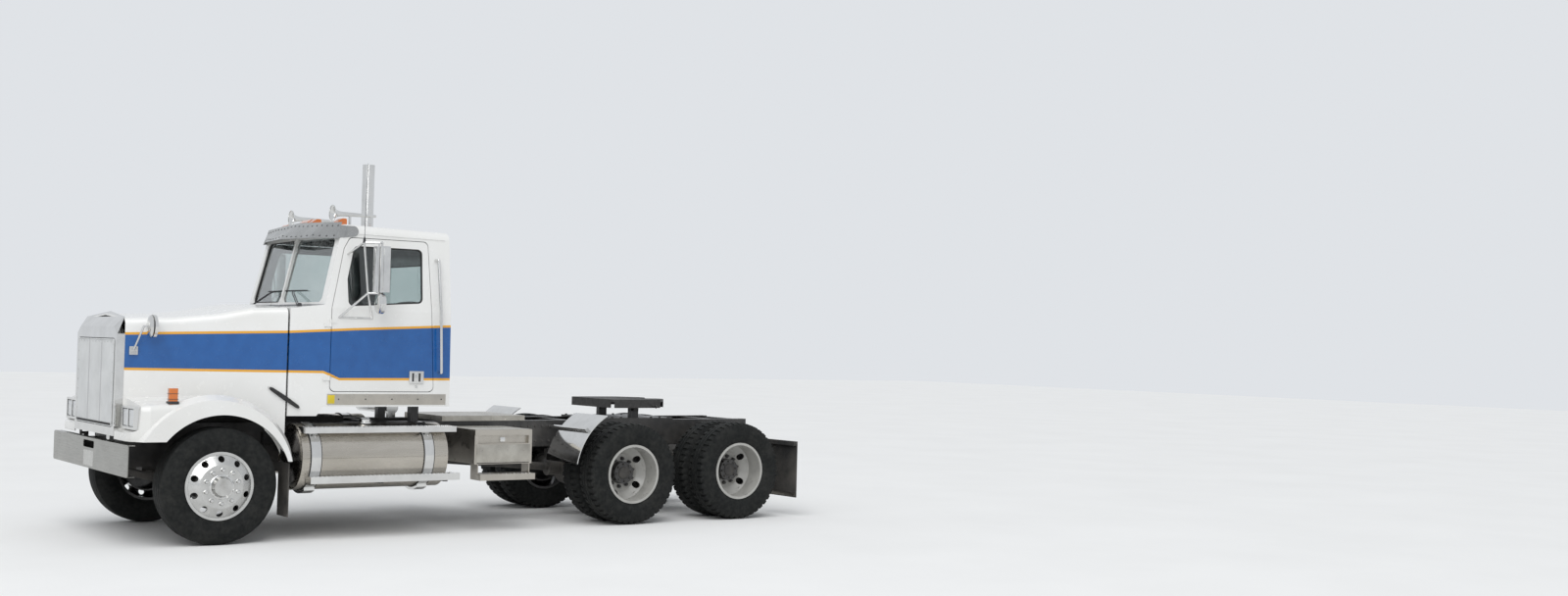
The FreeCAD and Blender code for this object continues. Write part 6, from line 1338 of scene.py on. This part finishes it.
def door_lining(side, sign):
    inner = touch("door_" + side, at(0, 1.60, 1.75), (sign, 0, 0))[0].x

    def lined(depth, y, z):
        """A point inside the cab, by its depth from the door's inner face."""
        return at(inner - sign * depth, y, z)

    shape = Shape(trim_grey, plastic, chrome)
    shape.box(lined(12 * MM, 1.20, 1.430), lined(-2 * MM, 1.93, 2.030), 5 * MM)
    shape.use(plastic).box(lined(16 * MM, 1.24, 1.470), lined(8 * MM, 1.88, 1.640), 3 * MM)
    grip = ((0, 1.62), (45 * MM, 1.635), (45 * MM, 1.80), (0, 1.815))
    shape.use(chrome).tube([lined(depth, y, 1.900) for depth, y in grip], 8 * MM)
    shape.done("door_lining_" + side, "door_" + side, "plastic")
    centre = lined(46 * MM, 1.62, 1.775)
    rest = pad("arm_rest_" + side, "door_" + side, centre, (0.036, 0.19, 0.030), 1, "z")
    rest.data.materials[0] = trim_grey


wheel_fittings()
cab_seals()
for side, sign in SIDES:
    for trim in (window_seal, door_handle, sill, drip_rail, wiper, latch):
        trim(side, sign)
for trim in (roof_trim, cover_trim, frame_trim, coupling_trim, exhaust_trim, flap_trim, seats, cockpit):
    trim()
for side, sign in SIDES:
    for trim in (front_trim, mirror_trim, tank_trim, box_trim, door_lining):
        trim(side, sign)


# Camera, floor and light

CAMERA_PLACE = Vector((15.5844, -7.5678, 1.84065))
AZIMUTH, PITCH, ROLL = math.radians(52.88), math.radians(1.70), math.radians(1.42)
PALE = (0.86, 0.86, 0.85)
DAYLIGHT = (0.93, 0.96, 1.0, 1)
FLOOR_REACH = 60


def camera():
    data = bpy.data.cameras.new("camera")
    data.sensor_width = 36
    data.lens = 38.05
    made = linked("camera", data)
    ahead = Vector((-math.sin(AZIMUTH) * math.cos(PITCH), math.cos(AZIMUTH) * math.cos(PITCH),
                    math.sin(PITCH)))
    level = ahead.cross(Vector((0, 0, 1))).normalized()
    right = level * math.cos(ROLL) + level.cross(ahead) * math.sin(ROLL)
    turn = Matrix((right, right.cross(ahead), -ahead)).transposed().to_4x4()
    made.matrix_world = Matrix.Translation(CAMERA_PLACE) @ turn
    bpy.context.scene.camera = made


def sky():
    """A soft even studio light. Camera, mirror and glass rays see a plain brighter background."""
    world = bpy.data.worlds.new("studio")
    world.use_nodes = True
    bpy.context.scene.world = world
    tree = world.node_tree
    tree.nodes.clear()
    path = tree.nodes.new("ShaderNodeLightPath")
    seen = path.outputs["Is Camera Ray"]
    for ray in ("Is Glossy Ray", "Is Transmission Ray"):
        either = tree.nodes.new("ShaderNodeMath")
        either.operation = "MAXIMUM"
        tree.links.new(seen, either.inputs[0])
        tree.links.new(path.outputs[ray], either.inputs[1])
        seen = either.outputs[0]
    mix = tree.nodes.new("ShaderNodeMixShader")
    tree.links.new(seen, mix.inputs[0])
    for index, strength in ((1, 0.60), (2, 0.80)):
        light = tree.nodes.new("ShaderNodeBackground")
        light.inputs["Color"].default_value = DAYLIGHT
        light.inputs["Strength"].default_value = strength
        tree.links.new(light.outputs[0], mix.inputs[index])
    output = tree.nodes.new("ShaderNodeOutputWorld")
    tree.links.new(mix.outputs[0], output.inputs["Surface"])


def floor():
    look = Look("floor", rough=0.9, specular=0.2)
    look.give("colour", look.mottled(0.6, 4, PALE, (0.83, 0.83, 0.82)))
    mesh = bpy.data.meshes.new("floor")
    corners = [(x * FLOOR_REACH, y * FLOOR_REACH, 0) for x, y in ((-1, -1), (1, -1), (1, 1), (-1, 1))]
    mesh.from_pydata(corners, [], [(0, 1, 2, 3)])
    mesh.materials.append(look.material)
    ground = linked("floor", mesh)


def lamp(name, kind, power, towards, place=(0, 0, 0)):
    data = bpy.data.lights.new(name, kind)
    data.energy = power
    made = linked(name, data)
    made.location = place
    made.rotation_mode = "QUATERNION"
    made.rotation_quaternion = (Vector(towards) - Vector(place)).to_track_quat("-Z", "Y")
    return data


camera()
sky()
floor()
lamp("daylight", "SUN", 1.35, (-0.45, 0.42, -1)).angle = math.radians(50)
fill = lamp("fill", "AREA", 820, (0, 0, 1.2), (17, -12, 10))
fill.shape = "RECTANGLE"
fill.size, fill.size_y = 9, 8
bpy.context.scene.view_settings.view_transform = "Standard"
